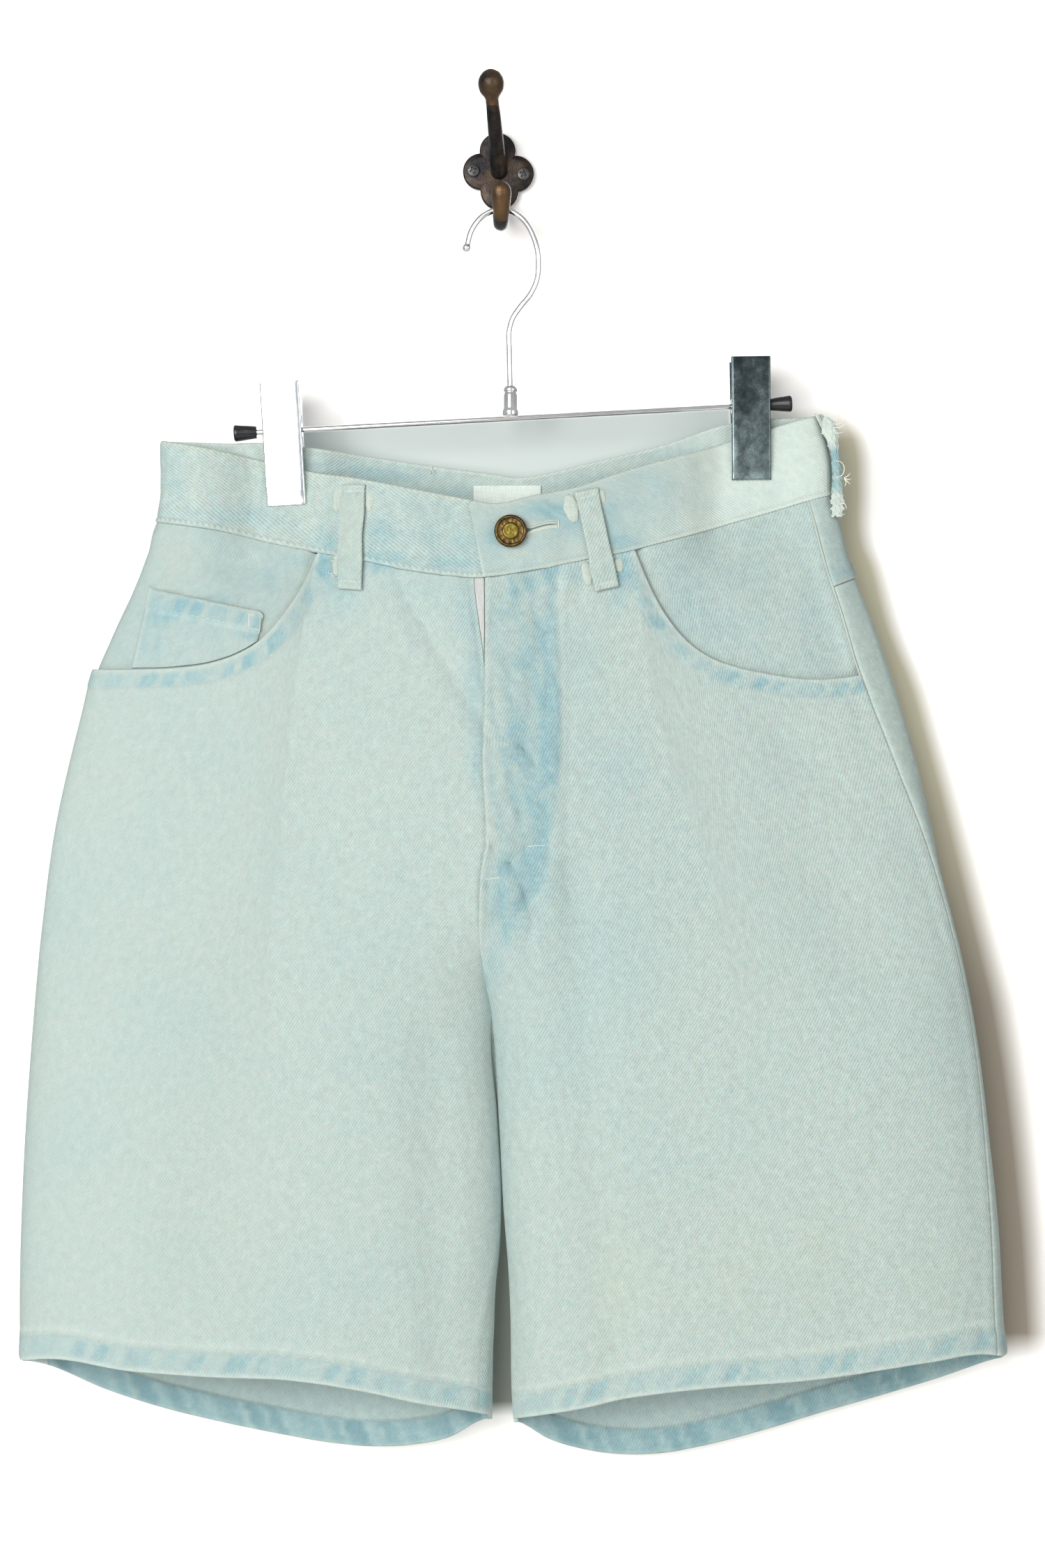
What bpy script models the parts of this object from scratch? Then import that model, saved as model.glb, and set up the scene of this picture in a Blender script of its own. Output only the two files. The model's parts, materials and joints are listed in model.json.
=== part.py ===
"""Denim shorts hung flat from a clip hanger, on a cast wall hook.

The frame has +Z up, -Y towards the viewer and its origin at the centre of the wall plate's back
face. Sizes are in millimetres and become metres when a mesh is made.

The shorts are one surface: across each half runs the angle phi, from 0 at the folded side to pi
at the centre line or the inner leg, on the front or the back face. Past 0 or pi it goes round
the fold to the other face. Every cloth piece is a stretch of that surface, moved out by its layer.
"""

import math

import bmesh
import bpy
import numpy as np
from mathutils import Matrix, Vector

MM = 0.001
LEFT, RIGHT = -1, 1
FRONT, BACK = -1, 1

# Cloth and its layers, outwards from the base surface
BAND_THICK = 3.2
GAP = 0.3
UNDER = (-1.0, 0.0)  # facings
TAPE = (-0.4, 0.6)  # fly tape, sewn behind the right front
LINING = (-1.4, -0.4)  # label
COIN = (0.4, 1.4)  # coin pocket, over the left facing
PANEL = (1.3, 2.5)  # fronts, backs, yokes
PATCH = (3.5, 4.5)  # back pockets
REACH = PANEL[1]
MIDPLANE_Y = -28.0  # hanger, clips and the folded sides
HALF_GAP = 0.25  # between the two faces where the clips pinch them
HEM = 14.0
HEM_THICK = 1.4
SEAM_HALF = 0.25  # half the gap of a level seam
SEAM_PHI = 0.008  # half the gap of a side seam or inseam, in radians

# The folded sides: z, x
OUTER = {
    LEFT: (
        (-149, -178.5), (-193, -181.4), (-206, -187), (-221, -192.5), (-238, -200), (-255, -208),
        (-271, -215), (-296, -221.5), (-318, -227), (-352, -234.5), (-407, -242), (-457, -246.5),
        (-529, -251.4), (-595, -253.6), (-637, -253.6),
    ),
    RIGHT: (
        (-136, 169), (-158, 176), (-178, 177.5), (-190, 181), (-222, 190), (-242, 197.8),
        (-276, 209.7), (-326, 224), (-387, 237.5), (-422, 246), (-464, 254), (-511, 260.5),
        (-565, 266), (-619, 269), (-637, 270.5),
    ),
}
# The fly edge, then the inner leg: z, x of the right front; the left front ends just short of it
FLY_EDGE = (
    (-222, -6.5), (-243, -5.1), (-268, -3.2), (-295, -5.1), (-308, -7.3), (-341, -5.8),
    (-357, -5.1), (-380, -8.3), (-406, -9.1), (-426, -8.3), (-437, -6.5), (-452, -4.0),
)
FLY_OPENS = ((-224, -12.4), (-244, -9.5), (-264, -5.8))
CENTRE_BACK = ((-165, 11.2), (-300, 9.0), (-400, 3.0), (-440, -2.0))
INNER_LEG = {
    RIGHT: (
        (-461, -2.7), (-508, 0.6), (-557, 3.2), (-590, 5.8), (-618, 6.9), (-650, 7.3), (-670, 8.4),
    ),
    LEFT: (
        (-461, -3.2), (-508, -0.2), (-557, 1.9), (-575, 1.2), (-600, -1.2), (-618, -1.8),
        (-652, -2.7), (-670, -2.9),
    ),
}


def moved(rows, dx):
    return tuple((z, x + dx) for z, x in rows)


PANEL_INNER = {
    RIGHT: {FRONT: FLY_EDGE + INNER_LEG[RIGHT], BACK: CENTRE_BACK + INNER_LEG[RIGHT]},
    LEFT: {
        FRONT: FLY_OPENS + moved(FLY_EDGE[3:], -0.5) + INNER_LEG[LEFT],
        BACK: moved(CENTRE_BACK, -0.5) + INNER_LEG[LEFT],
    },
}
BAND_INNER = {
    RIGHT: {FRONT: ((-224, -7.5), (-184, -15.4)), BACK: ((-225, 11.2), (-160, 11.2))},
    LEFT: {FRONT: ((-224, 17.0), (-184, 17.0)), BACK: ((-225, 10.7), (-160, 10.7))},
}
PAST_CENTRE = {FRONT: ((-400, -24), (-100, -24)), BACK: ((-400, -24), (-100, -24))}

# Level lines: x, z
WAIST_TOP = {
    FRONT: (
        (-178.5, -149), (-126, -159.6), (-101, -165.1), (-78, -169.5), (-50, -175.4), (-15, -182),
        (-4, -184.5), (20, -180), (40, -176), (67, -167), (87, -161), (122, -150), (145, -142.5),
        (169, -136),
    ),
    BACK: (
        (-178.5, -149), (-157, -149.3), (-140, -150), (-128, -150), (-104, -152), (-73, -155.5),
        (-38, -160.5), (0, -165.5), (11, -167), (25, -165), (50, -159), (88, -150),
        (124, -139.5), (169, -136),
    ),
}
WAIST_SEAM = {
    FRONT: (
        (-181.4, -193), (-148, -198), (-111, -206.5), (-83, -212), (-68, -215), (-38, -221),
        (-10, -223.5), (20, -219.5), (47, -214), (63, -211), (86, -205), (124, -194), (161, -183),
        (177.5, -178),
    ),
    BACK: (
        (-181.4, -193), (-130, -192), (-104, -195), (-73, -199), (-38, -204.5), (0, -209.5),
        (11, -211), (25, -209.5), (50, -203), (88, -194), (124, -183), (177.5, -178),
    ),
}
YOKE_SEAM = (
    (-192, -234), (-150, -240), (-80, -255), (-20, -268), (11, -272), (40, -267), (110, -248),
    (165, -232), (190, -222),
)
HEM_LINE = {
    FRONT: (
        (-253.6, -637), (-240, -634), (-188, -638.4), (-151, -641), (-107, -643), (-77, -647.5),
        (-37, -657), (-14, -662), (-2.9, -666), (8.4, -667.5), (17, -665), (43, -659), (79, -651),
        (110, -647), (160, -643), (193, -639), (227, -634), (256, -631.5), (270.5, -635),
    ),
    BACK: (
        (-253.6, -637), (-239, -642), (-212, -655), (-183, -665), (-145, -674.5), (-118, -680),
        (-89, -685), (-67, -686.7), (-47, -685.5), (-27, -681), (-2.9, -668), (8.4, -669),
        (27, -681), (48, -688), (83, -690.8), (113, -686), (145, -677.5), (179, -667), (208, -658.5),
        (237, -649), (270.5, -635),
    ),
}
FRONT_ROWS = (0, 0.025, 0.055, 0.09, 0.14, 0.21, 0.3, 0.4, 0.5, 0.62, 0.74, 0.87, 1)
BACK_ROWS = (0, 0.12, 0.24, 0.34, 0.42, 0.5, 0.6, 0.72, 0.86, 1)
BACK_COLUMNS = {  # the right back comes round the folded side, with columns close together there
    LEFT: np.array(
        (0, 0.05, 0.1, 0.17, 0.25, 0.33, 0.41, 0.5, 0.59, 0.67, 0.75, 0.83, 0.9, 0.96, 1)
    ),
    RIGHT: np.array(
        (0, 0.03, 0.06, 0.09, 0.12, 0.15, 0.2, 0.27, 0.35, 0.43, 0.51, 0.59, 0.67, 0.75, 0.83,
         0.9, 0.96, 1)
    ),
}
# The scooped pocket mouths, from the waist seam to the side: x, z
POCKET_MOUTH = {
    LEFT: (
        (-94.3, -209), (-101.3, -225), (-110.8, -241), (-122.5, -254.5), (-135.6, -262.8),
        (-149.5, -267.6), (-167.8, -270.2), (-192, -271), (-216, -271),
    ),
    RIGHT: (
        (72.1, -209), (79, -226), (88.2, -243), (98.8, -256), (110.5, -264.5), (125.5, -270),
        (143, -273.5), (160.6, -276), (178, -275.8), (196, -273),
    ),
}
# How far the faces stand off the middle plane: z, front, back
BULGE = (
    (-136, 17, 13), (-190, 20, 14), (-260, 23, 16), (-400, 24, 18), (-560, 25, 18), (-690, 23, 17),
)
# Where the side seams lie, as phi: z, phi. The left one is behind, the right one in front.
SIDE_SEAM = {
    LEFT: ((-200, -0.42), (-700, -0.42)),
    RIGHT: (
        (-183, 0.50), (-225, 0.52), (-270, 0.55), (-322, 0.44), (-387, 0.20), (-426, 0.18),
        (-475, 0.20), (-540, 0.26), (-630, 0.30),
    ),
}
# How far the left inseam comes round to the front, as phi
INSEAM_TURN = ((-560, 0.0), (-600, 0.16), (-632, 0.30), (-665, 0.33))
CROTCH_Z = -456
FORK_Z = -392  # where the two legs begin to part
TORSO_FULL, LEG_FULL = 2.3, 3.0  # exponents of the sections: 2 is an ellipse

# The main creases and ridges of each face: x0, z0, x1, z1, width, height
FOLDS = {
    FRONT: (
        (-50, -228, -9, -298, 7, -1.6),
        (31, -260, 31, -395, 6, 1.2),
        (42, -380, 60, -640, 13, -3.0),
        (20, -420, 22, -640, 10, 1.5),
        (3, -300, 20, -320, 5, -1.0),
        (-95, -330, -150, -560, 30, -2.0),
        (150, -300, 190, -430, 22, -2.0),
        (-35, -470, -30, -640, 14, -2.5),
    ),
    BACK: (
        (-30, -290, -14, -425, 12, -2.0),
        (34, -290, 16, -425, 12, -2.0),
        (-130, -440, -120, -640, 26, 2.0),
        (140, -440, 130, -640, 26, 2.0),
    ),
}
FLY_STEP_X, FLY_STEP_Z, FLY_STEP = 31.0, -392.0, 1.0
OVERLAP_LIFT = 1.75  # of the right waistband over the left one
TURN_END = math.pi - 0.0005  # phi just before the centre line
BAND_TURN = math.pi - 0.001  # phi at both ends of a half waistband
CLIP_COLUMNS = (-42, -34, -28, -23, -19, -15.5, -12, 0, 12, 15.5, 19, 23, 28, 34, 42)  # mm from a clip
FOLD_PHIS = (0.1, 0.2, 0.32)

# Belt loops: width, thickness and how they lie
LOOP_WIDE, LOOP_THICK = 12.0, 1.6
LOOPS = (  # name, side, face, x and z of the top, x and z of the foot
    ("loop_front_left", LEFT, FRONT, -73.6, -174, -76.2, -230),
    ("loop_front_right", RIGHT, FRONT, 46.4, -177.5, 57.3, -229.5),
    ("loop_side_left", LEFT, BACK, -158, -149.5, -159, -200),
    ("loop_back_left", LEFT, BACK, -36, -162.5, -38, -215),
    ("loop_back_right", RIGHT, BACK, 60, -158.5, 62, -211),
)
SIDE_LOOP = (-134.5, -187.0, 2.6)  # z of the torn top, z of the foot, how far it stands off
SIDE_LOOP_WRAP = 3.4  # how far its front edge comes round the fold

LOOP_OFF, LOOP_SLACK = 0.6, 1.0  # off the waistband at the tacks, and more between them

# What lies on or under the panels
FACING_BELOW = 9.0  # how far a facing runs on under the pocket mouth
COIN_TOP = ((-183.4, -227.9), (-122.7, -241.1))  # x, z of the top's two ends
COIN_FOOT = (-193.0, -125.5)  # x of the two ends, on the pocket mouth
TAPE_X, TAPE_Z = (-19, 8), (-224.2, -330)
LABEL_X, LABEL_Z = (-13, 23), (-171.5, -201)
BACK_POCKET_X, BACK_POCKET_WIDE = 98.0, (132.0, 118.0)  # from the centre back, top and foot width
BACK_POCKET_Z = (-290.0, -402.0, -424.0)  # top, lower corners, point
BACK_POCKET_SLOPE = 10.0
BUTTON_AT = (7.0, -199.6)
BUTTON_OFF = 0.4  # shank over the waistband
BUTTON_PROFILE = (  # radius, height
    (0, 0), (3.4, 0), (3.4, 1.6), (7.6, 1.6), (8.5, 2.2), (8.5, 3.4), (7.9, 4.1), (6.6, 4.1),
    (5.9, 3.6), (4.2, 3.9), (0, 4.2),
)

# Hanger, in its own frame: x along the bar, origin where the ferrule stands on it
HANGER_AT = (6.9, MIDPLANE_Y, -137.2)
HANGER_TILT = 3.08
BAR_R, BAR_FROM, BAR_TO = 1.4, -144.5, 147.0
CAP_LONG, CAP_R_IN, CAP_R_OUT = 12.0, 3.2, 4.4
CLIP_AT = {"left": -121.0, "right": 127.3}
CLIP_WIDE, CLIP_UP, CLIP_DOWN, LEAF_THICK = 20.0, 24.5, 39.5, 1.0
CLIP_LEAN = {"left": 0.0, "right": 2.4}
JAW = HALF_GAP + BAND_THICK + 0.35  # from the middle plane to a leaf's inner face at its jaw
EAR_R, EAR_THICK = 3.6, 0.9
PINCH_FLAT, PINCH_FALL = 13.0, 22.0
PINCHES = ((-114.0, -183.0), (133.5, -170.0))  # x of a clip, z of its jaw
WIRE_R, BALL_R = 1.5, 2.2
WIRE_ROUTE = (  # x, z
    (-15.9, -44.4), (-14.3, -38.5), (-11.5, -33.5), (-7.5, -29.4), (-2.5, -27.0), (2.5, -26.2),
    (7.5, -27.2), (12, -30.0), (16, -34.5), (19.3, -41), (21.2, -48), (21.7, -55), (21.0, -63),
    (17.4, -71.2), (12.1, -77.8), (8.0, -84), (6.1, -91), (6.2, -100), (6.4, -110), (6.9, -131.5),
)

# Wall hook
PLATE_THICK, PLATE_RISE = 3.6, 0.9  # at the rim, and how much more within it
LOBES = ((-0.2, 10.3, 9.7), (-9.2, -0.7, 9.7), (9.6, -1.9, 9.7), (0.8, -11.0, 10.3))  # x, z, radius
SCREWS_AT = ((-13.3, -0.7), (13.6, -2.6))
UPPER_HOOK = (  # x, y, z, radius
    (0.6, -1.0, -1, 4.6), (0.5, -4.5, -0.8, 4.6), (0.2, -8.5, 2, 4.4), (-0.4, -15, 8, 4.1),
    (-1.2, -23, 15.5, 3.9), (-2.0, -30, 23, 3.7), (-2.7, -34.5, 29, 3.5), (-2.9, -36.0, 31.2, 3.7),
    (-3.0, -37.0, 32.8, 4.9), (-3.1, -37.7, 34.0, 5.9), (-3.2, -38.8, 36.0, 6.7),
    (-3.3, -40, 38.2, 6.9), (-3.4, -41.2, 40.3, 6.4), (-3.5, -42.2, 42.2, 5.2),
    (-3.6, -43.0, 43.7, 3.3), (-3.6, -43.4, 44.4, 1.4),
)
LOWER_HOOK = (
    (0.6, -1.0, -14.5, 4.2), (0.7, -4.2, -15.2, 4.2), (1.0, -7.6, -19.5, 4.1),
    (1.3, -11.5, -26.4, 4.0), (1.6, -17.5, -31.0, 4.0), (1.8, -25, -32.6, 4.1),
    (1.9, -31.5, -31.4, 4.2), (2.0, -36.6, -27.6, 4.5),
    (2.0, -39.2, -23.2, 5.0), (2.0, -40.6, -19.6, 5.3), (1.9, -41.6, -16.6, 4.6),
    (1.9, -42.2, -14.8, 3.0), (1.9, -42.5, -14.0, 1.3),
)

COLOURS = {  # colour, roughness, metallic
    "denim": ((0.60, 0.74, 0.72), 0.9, 0.0),
    "denim_back": ((0.55, 0.71, 0.71), 0.9, 0.0),
    "band": ((0.62, 0.75, 0.73), 0.9, 0.0),
    "cream": ((0.76, 0.78, 0.70), 0.9, 0.0),
    "label": ((0.88, 0.89, 0.88), 0.8, 0.0),
    "bronze": ((0.26, 0.19, 0.09), 0.4, 1.0),
    "chrome": ((0.80, 0.81, 0.83), 0.12, 1.0),
    "black": ((0.02, 0.02, 0.022), 0.45, 0.0),
    "iron": ((0.045, 0.035, 0.03), 0.5, 0.9),
}


# --- small helpers -------------------------------------------------------------------------


def smooth(rows, at, column=1):
    """A smooth curve through a table's rows, read at the first column's values."""
    rows = np.array(sorted(rows), float)
    t, v = rows[:, 0], rows[:, column]
    slope = np.gradient(v, t)
    at = np.clip(np.asarray(at, float), t[0], t[-1])
    i = np.clip(np.searchsorted(t, at) - 1, 0, len(t) - 2)
    wide = t[i + 1] - t[i]
    s = (at - t[i]) / wide
    return (
        (1 + 2 * s) * (1 - s) ** 2 * v[i]
        + s * (1 - s) ** 2 * wide * slope[i]
        + s * s * (3 - 2 * s) * v[i + 1]
        + s * s * (s - 1) * wide * slope[i + 1]
    )


def ramp(low, high, at):
    s = np.clip((at - low) / (high - low), 0, 1)
    return s * s * (3 - 2 * s)


def blend(a, b, s):
    return a + (b - a) * s


# --- the surface of the shorts ----------------------------------------------------------------


def across(side, face, phi, z, inner):
    """x on the base surface, and which face phi has come to."""
    facing = face * np.where(np.sin(phi) < -1e-9, -1, 1)
    outer_x = smooth(OUTER[side], z) - side * REACH
    legs = ramp(FORK_Z, CROTCH_Z, z)
    inner_x = np.where(facing < 0, smooth(inner[FRONT], z), smooth(inner[BACK], z))
    inner_x = inner_x + side * REACH * legs
    return outer_x + (inner_x - outer_x) * (1 - np.cos(phi)) / 2, facing


def pinch(x, z):
    """1 where a clip holds the two faces together, 0 away from it."""
    held = np.zeros_like(x)
    for clip_x, jaw_z in PINCHES:
        away = np.maximum(np.abs(x - clip_x) - PINCH_FLAT, 0) / PINCH_FALL
        held = np.maximum(held, np.exp(-(away**2)) * ramp(jaw_z - 75, jaw_z - 4, z))
    return held


def folds(face, x, z):
    """The creases and ridges of one face, outwards."""
    total = np.zeros_like(x)
    for x0, z0, x1, z1, width, height in FOLDS[face]:
        along = np.array((x1 - x0, z1 - z0), float)
        t = np.clip(((x - x0) * along[0] + (z - z0) * along[1]) / (along @ along), 0, 1)
        away = np.hypot(x - x0 - t * along[0], z - z0 - t * along[1])
        total = total + height * np.exp(-((away / width) ** 2))
    return total


def base(side, face, phi, z, inner):
    x, facing = across(side, face, phi, z, inner)
    left, right = (smooth(OUTER[s], z) - s * REACH for s in (LEFT, RIGHT))
    place = np.clip((x - left) / (right - left), 0, 1)
    torso = np.sqrt(np.maximum(1 - np.abs(2 * place - 1) ** TORSO_FULL, 0))
    leg = np.sqrt(np.maximum(1 - np.abs(np.cos(phi)) ** LEG_FULL, 0))
    legs = ramp(FORK_Z, CROTCH_Z, z)
    tall = np.where(facing < 0, smooth(BULGE, z, 1), smooth(BULGE, z, 2))
    lens = blend(torso, leg, legs)
    off = tall * lens * (1 - pinch(x, z))
    relief = np.where(facing < 0, folds(FRONT, x, z), folds(BACK, x, z))
    off = np.maximum(off + relief * np.minimum(1, lens * 2) * (1 - pinch(x, z)), 0)
    apart = np.minimum(1, np.abs(np.sin(phi)) / 0.2)
    apart = np.where(np.abs(phi) > 1.5, blend(1.0, apart, legs), apart)
    off = off + HALF_GAP * apart
    return np.stack([x, MIDPLANE_Y + facing * off, z], axis=-1), facing


def surface(side, face, phi, z, out, inner):
    """Points of the shorts at a height out above the base surface."""
    phi, z = np.broadcast_arrays(np.asarray(phi, float), np.asarray(z, float))
    point, facing = base(side, face, phi, z, inner)
    d_phi, d_z = 0.03, 0.8
    before = np.maximum(phi - d_phi, -TURN_END)
    after = np.where(phi < math.pi + 1e-6, np.minimum(phi + d_phi, TURN_END), phi + d_phi)
    over = base(side, face, after, z, inner)[0] - base(side, face, before, z, inner)[0]
    up = base(side, face, phi, z + d_z, inner)[0] - base(side, face, phi, z - d_z, inner)[0]
    normal = np.cross(over, up) * (face * side)
    normal /= np.maximum(np.linalg.norm(normal, axis=-1, keepdims=True), 1e-9)
    point = point + normal * np.asarray(out, float)[..., None]
    limit = np.where(facing < 0, smooth(inner[FRONT], z), smooth(inner[BACK], z))
    if side == LEFT:
        point[..., 0] = np.minimum(point[..., 0], limit)
    else:
        point[..., 0] = np.maximum(point[..., 0], limit)
    return point


def phi_at(side, face, x, z, inner):
    """The angle phi of a point given by its x and z."""
    outer_x = smooth(OUTER[side], z) - side * REACH
    inner_x = smooth(inner[face], z) + side * REACH * ramp(FORK_Z, CROTCH_Z, z)
    return np.arccos(np.clip(1 - 2 * (x - outer_x) / (inner_x - outer_x), -1, 1))


def on_face(side, face, x, z, out, inner=None):
    inner = inner or PANEL_INNER[side]
    return surface(side, face, phi_at(side, face, x, z, inner), z, out, inner)


# --- solids --------------------------------------------------------------------------------


def material(name):
    made = bpy.data.materials.get(name)
    if made is None:
        colour, rough, metal = COLOURS[name]
        made = bpy.data.materials.new(name)
        made.use_nodes = True
        shader = made.node_tree.nodes["Principled BSDF"]
        shader.inputs["Base Color"].default_value = (*colour, 1)
        shader.inputs["Roughness"].default_value = rough
        shader.inputs["Metallic"].default_value = metal
        made.diffuse_color = (*colour, 1)
    return made


def add_object(name, data, finish, parent=None):
    made = bpy.data.objects.new(name, data)
    if finish:
        data.materials.append(material(finish))
    bpy.context.collection.objects.link(made)
    made.parent = parent
    return made


def finish_mesh(name, bm, finish, parent=None, sharp=40):
    bmesh.ops.recalc_face_normals(bm, faces=bm.faces)
    mesh = bpy.data.meshes.new(name)
    bm.to_mesh(mesh)
    bm.free()
    mesh.shade_smooth()
    mesh.set_sharp_from_angle(angle=math.radians(sharp))
    return add_object(name, mesh, finish, parent)


def new_verts(made):
    return [v for v in made["geom"] if isinstance(v, bmesh.types.BMVert)]


def thick_sheet(name, low, high, finish):
    """A wall between two grids of points, low and high, each rows x columns x 3."""
    rows, columns = low.shape[:2]
    bm = bmesh.new()
    bmesh.ops.create_grid(bm, x_segments=columns - 1, y_segments=rows - 1, size=1)
    low_verts = list(bm.verts)
    made = bmesh.ops.extrude_face_region(bm, geom=bm.faces[:])
    high_verts = new_verts(made)
    for verts, grid in ((low_verts, low), (high_verts, high)):
        for v in verts:
            column = round((v.co.x + 1) / 2 * (columns - 1))
            row = round((v.co.y + 1) / 2 * (rows - 1))
            v.co = Vector(grid[row, column]) * MM
    return finish_mesh(name, bm, finish)


def prism(profile, axis, start, end):
    """A closed outline pushed along x or y. The outline's points are (y, z) or (x, z)."""
    bm = bmesh.new()
    spot = (lambda a, b: (start, a, b)) if axis == "x" else (lambda a, b: (a, start, b))
    face = bm.faces.new([bm.verts.new(Vector(spot(a, b)) * MM) for a, b in profile])
    made = bmesh.ops.extrude_face_region(bm, geom=[face])
    push = Vector((end - start, 0, 0) if axis == "x" else (0, end - start, 0)) * MM
    bmesh.ops.translate(bm, vec=push, verts=new_verts(made))
    return bm


def tube_curve(name, route, radii, finish, sides=2, parent=None):
    curve = bpy.data.curves.new(name, "CURVE")
    curve.dimensions = "3D"
    curve.bevel_depth = max(radii) * MM
    curve.bevel_resolution = sides
    curve.use_fill_caps = True
    spline = curve.splines.new("POLY")
    spline.points.add(len(route) - 1)
    for point, place, radius in zip(spline.points, route, radii):
        point.co = (*(Vector(place) * MM), 1)
        point.radius = radius / max(radii)
    return add_object(name, curve, finish, parent)


def smooth_route(points, count):
    """Points evenly spread over a smooth curve through a route's own points."""
    points = np.array(points, float)
    steps = np.linalg.norm(np.diff(points[:, :3], axis=0), axis=1)
    along = np.concatenate([[0], np.cumsum(steps)])
    at = np.linspace(0, along[-1], count)
    rows = [tuple((a, *p)) for a, p in zip(along, points)]
    return np.stack([smooth(rows, at, k + 1) for k in range(points.shape[1])], axis=1)


def turned(name, profile, finish, at, axis="z", segments=20, parent=None):
    """A turned piece: radius, height rows, closed on its axis or as a ring."""
    bm = bmesh.new()
    verts = [bm.verts.new(Vector((r, 0, h)) * MM) for r, h in profile]
    pairs = [(a, b) for a, b in zip(verts, verts[1:]) if a.co.x > 0 or b.co.x > 0]
    edges = [bm.edges.new(pair) for pair in pairs]
    if profile[0][0] > 0:
        edges.append(bm.edges.new((verts[-1], verts[0])))
    bmesh.ops.spin(
        bm, geom=verts + edges, cent=(0, 0, 0), axis=(0, 0, 1), angle=2 * math.pi,
        steps=segments, use_merge=True,
    )
    bmesh.ops.remove_doubles(bm, verts=bm.verts, dist=1e-6)
    about, turn = {"z": ("Z", 0), "-y": ("X", 90), "x": ("Y", 90), "-x": ("Y", -90)}[axis]
    matrix = Matrix.Translation(Vector(at) * MM) @ Matrix.Rotation(math.radians(turn), 4, about)
    bmesh.ops.transform(bm, matrix=matrix, verts=bm.verts)
    return finish_mesh(name, bm, finish, parent)


def boolean(target, operand, operation):
    step = target.modifiers.new(operation.lower(), "BOOLEAN")
    step.operation = operation
    step.object = operand
    step.solver = "EXACT"
    operand.hide_render = True
    operand.display_type = "WIRE"


# --- cloth pieces ----------------------------------------------------------------------------


class Piece:
    """A stretch of the surface, between two lines of phi."""

    def __init__(self, side, face, phi_from, phi_to, inner=None):
        self.side, self.face = side, face
        self.phi_from, self.phi_to = phi_from, phi_to
        self.inner = inner or PANEL_INNER[side]

    def phi(self, column, z):
        return blend(self.phi_from(z), self.phi_to(z), column)

    def x(self, column, z):
        return across(self.side, self.face, self.phi(column, z), z, self.inner)

    def column_of(self, x, z):
        phi = phi_at(self.side, self.face, x, z, self.inner)
        start, end = self.phi_from(np.array(z, float)), self.phi_to(np.array(z, float))
        return float((phi - start) / (end - start))

    def edge(self, columns, line, drop=0.0):
        """The height at which each column crosses a level line."""
        z = np.full(len(columns), -400.0)
        for _ in range(14):
            x, facing = self.x(columns, z)
            z = np.array(line(x, facing), float) - drop
        return z

    def sheet(self, name, columns, heights, low, high, finish):
        """heights: rows x columns of z; low and high: layer offsets, numbers or like grids."""
        phi = self.phi(np.array(columns)[None, :], heights)
        low, high = (np.broadcast_to(v, heights.shape) for v in (low, high))
        return thick_sheet(
            name,
            surface(self.side, self.face, phi, heights, low, self.inner),
            surface(self.side, self.face, phi, heights, high, self.inner),
            finish,
        )


def two_faced(table):
    return lambda x, facing: np.where(facing < 0, smooth(table[FRONT], x), smooth(table[BACK], x))


def seam_phi(side, own):
    """The side seam as phi, seen from the front (own = 1) or from the back (own = -1)."""
    return lambda z: own * smooth(SIDE_SEAM[side], z) + SEAM_PHI


def inner_phi(side, own):
    """The inner edge as phi: pi, less or more where the left inseam comes to the front."""
    if side == LEFT:
        return lambda z: math.pi - own * smooth(INSEAM_TURN, z) - SEAM_PHI * ramp(FORK_Z, CROTCH_Z, z)
    return lambda z: math.pi - SEAM_PHI * ramp(FORK_Z, CROTCH_Z, z)


def front_piece(side):
    return Piece(side, FRONT, seam_phi(side, 1), inner_phi(side, 1))


def back_piece(side):
    return Piece(side, BACK, seam_phi(side, -1), inner_phi(side, -1))


def spread_columns(start, end, count):
    return list(np.linspace(start, end, count + 1)[1:])


def front_columns(side):
    """Columns through the pocket mouth's own points, then on to the centre."""
    piece = front_piece(side)
    mouth = [piece.column_of(x, z) for x, z in POCKET_MOUTH[side]]
    columns = sorted(c for c in mouth if c > 0.03)
    corner = columns[-1]
    start = [0.0, 0.07] if side == LEFT else [0.0]
    columns = [c for c in columns if c > start[-1] + 0.03]
    return piece, np.array(start + columns + spread_columns(corner, 1.0, 8)), corner


def mouth_line(side, shift=0):
    """The pocket mouth as a level line, read that far further out."""
    rows = POCKET_MOUTH[side]
    return lambda x, facing: np.where(facing < 0, smooth(rows, x + side * shift), rows[-1][1])


def add_front(side):
    piece, columns, corner = front_columns(side)
    waist = piece.edge(columns, two_faced(WAIST_SEAM), drop=SEAM_HALF)
    mouth = piece.edge(columns, mouth_line(side))
    top = np.where(columns < corner - 1e-6, mouth, waist)
    bottom = piece.edge(columns, two_faced(HEM_LINE))
    rows = [blend(top, bottom + HEM, s) for s in FRONT_ROWS]
    heights = np.array(rows + [bottom + HEM - 1.0, bottom])
    low = np.full(heights.shape, PANEL[0])
    low[-2:] -= HEM_THICK
    high = np.full(heights.shape, PANEL[1])
    if side == RIGHT:
        x = piece.x(columns[None, :], heights)[0]
        high = high + FLY_STEP * (x < FLY_STEP_X) * (heights > FLY_STEP_Z)
    name = "front_left" if side == LEFT else "front_right"
    piece.sheet(name, columns, heights, low, high, "denim")


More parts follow.
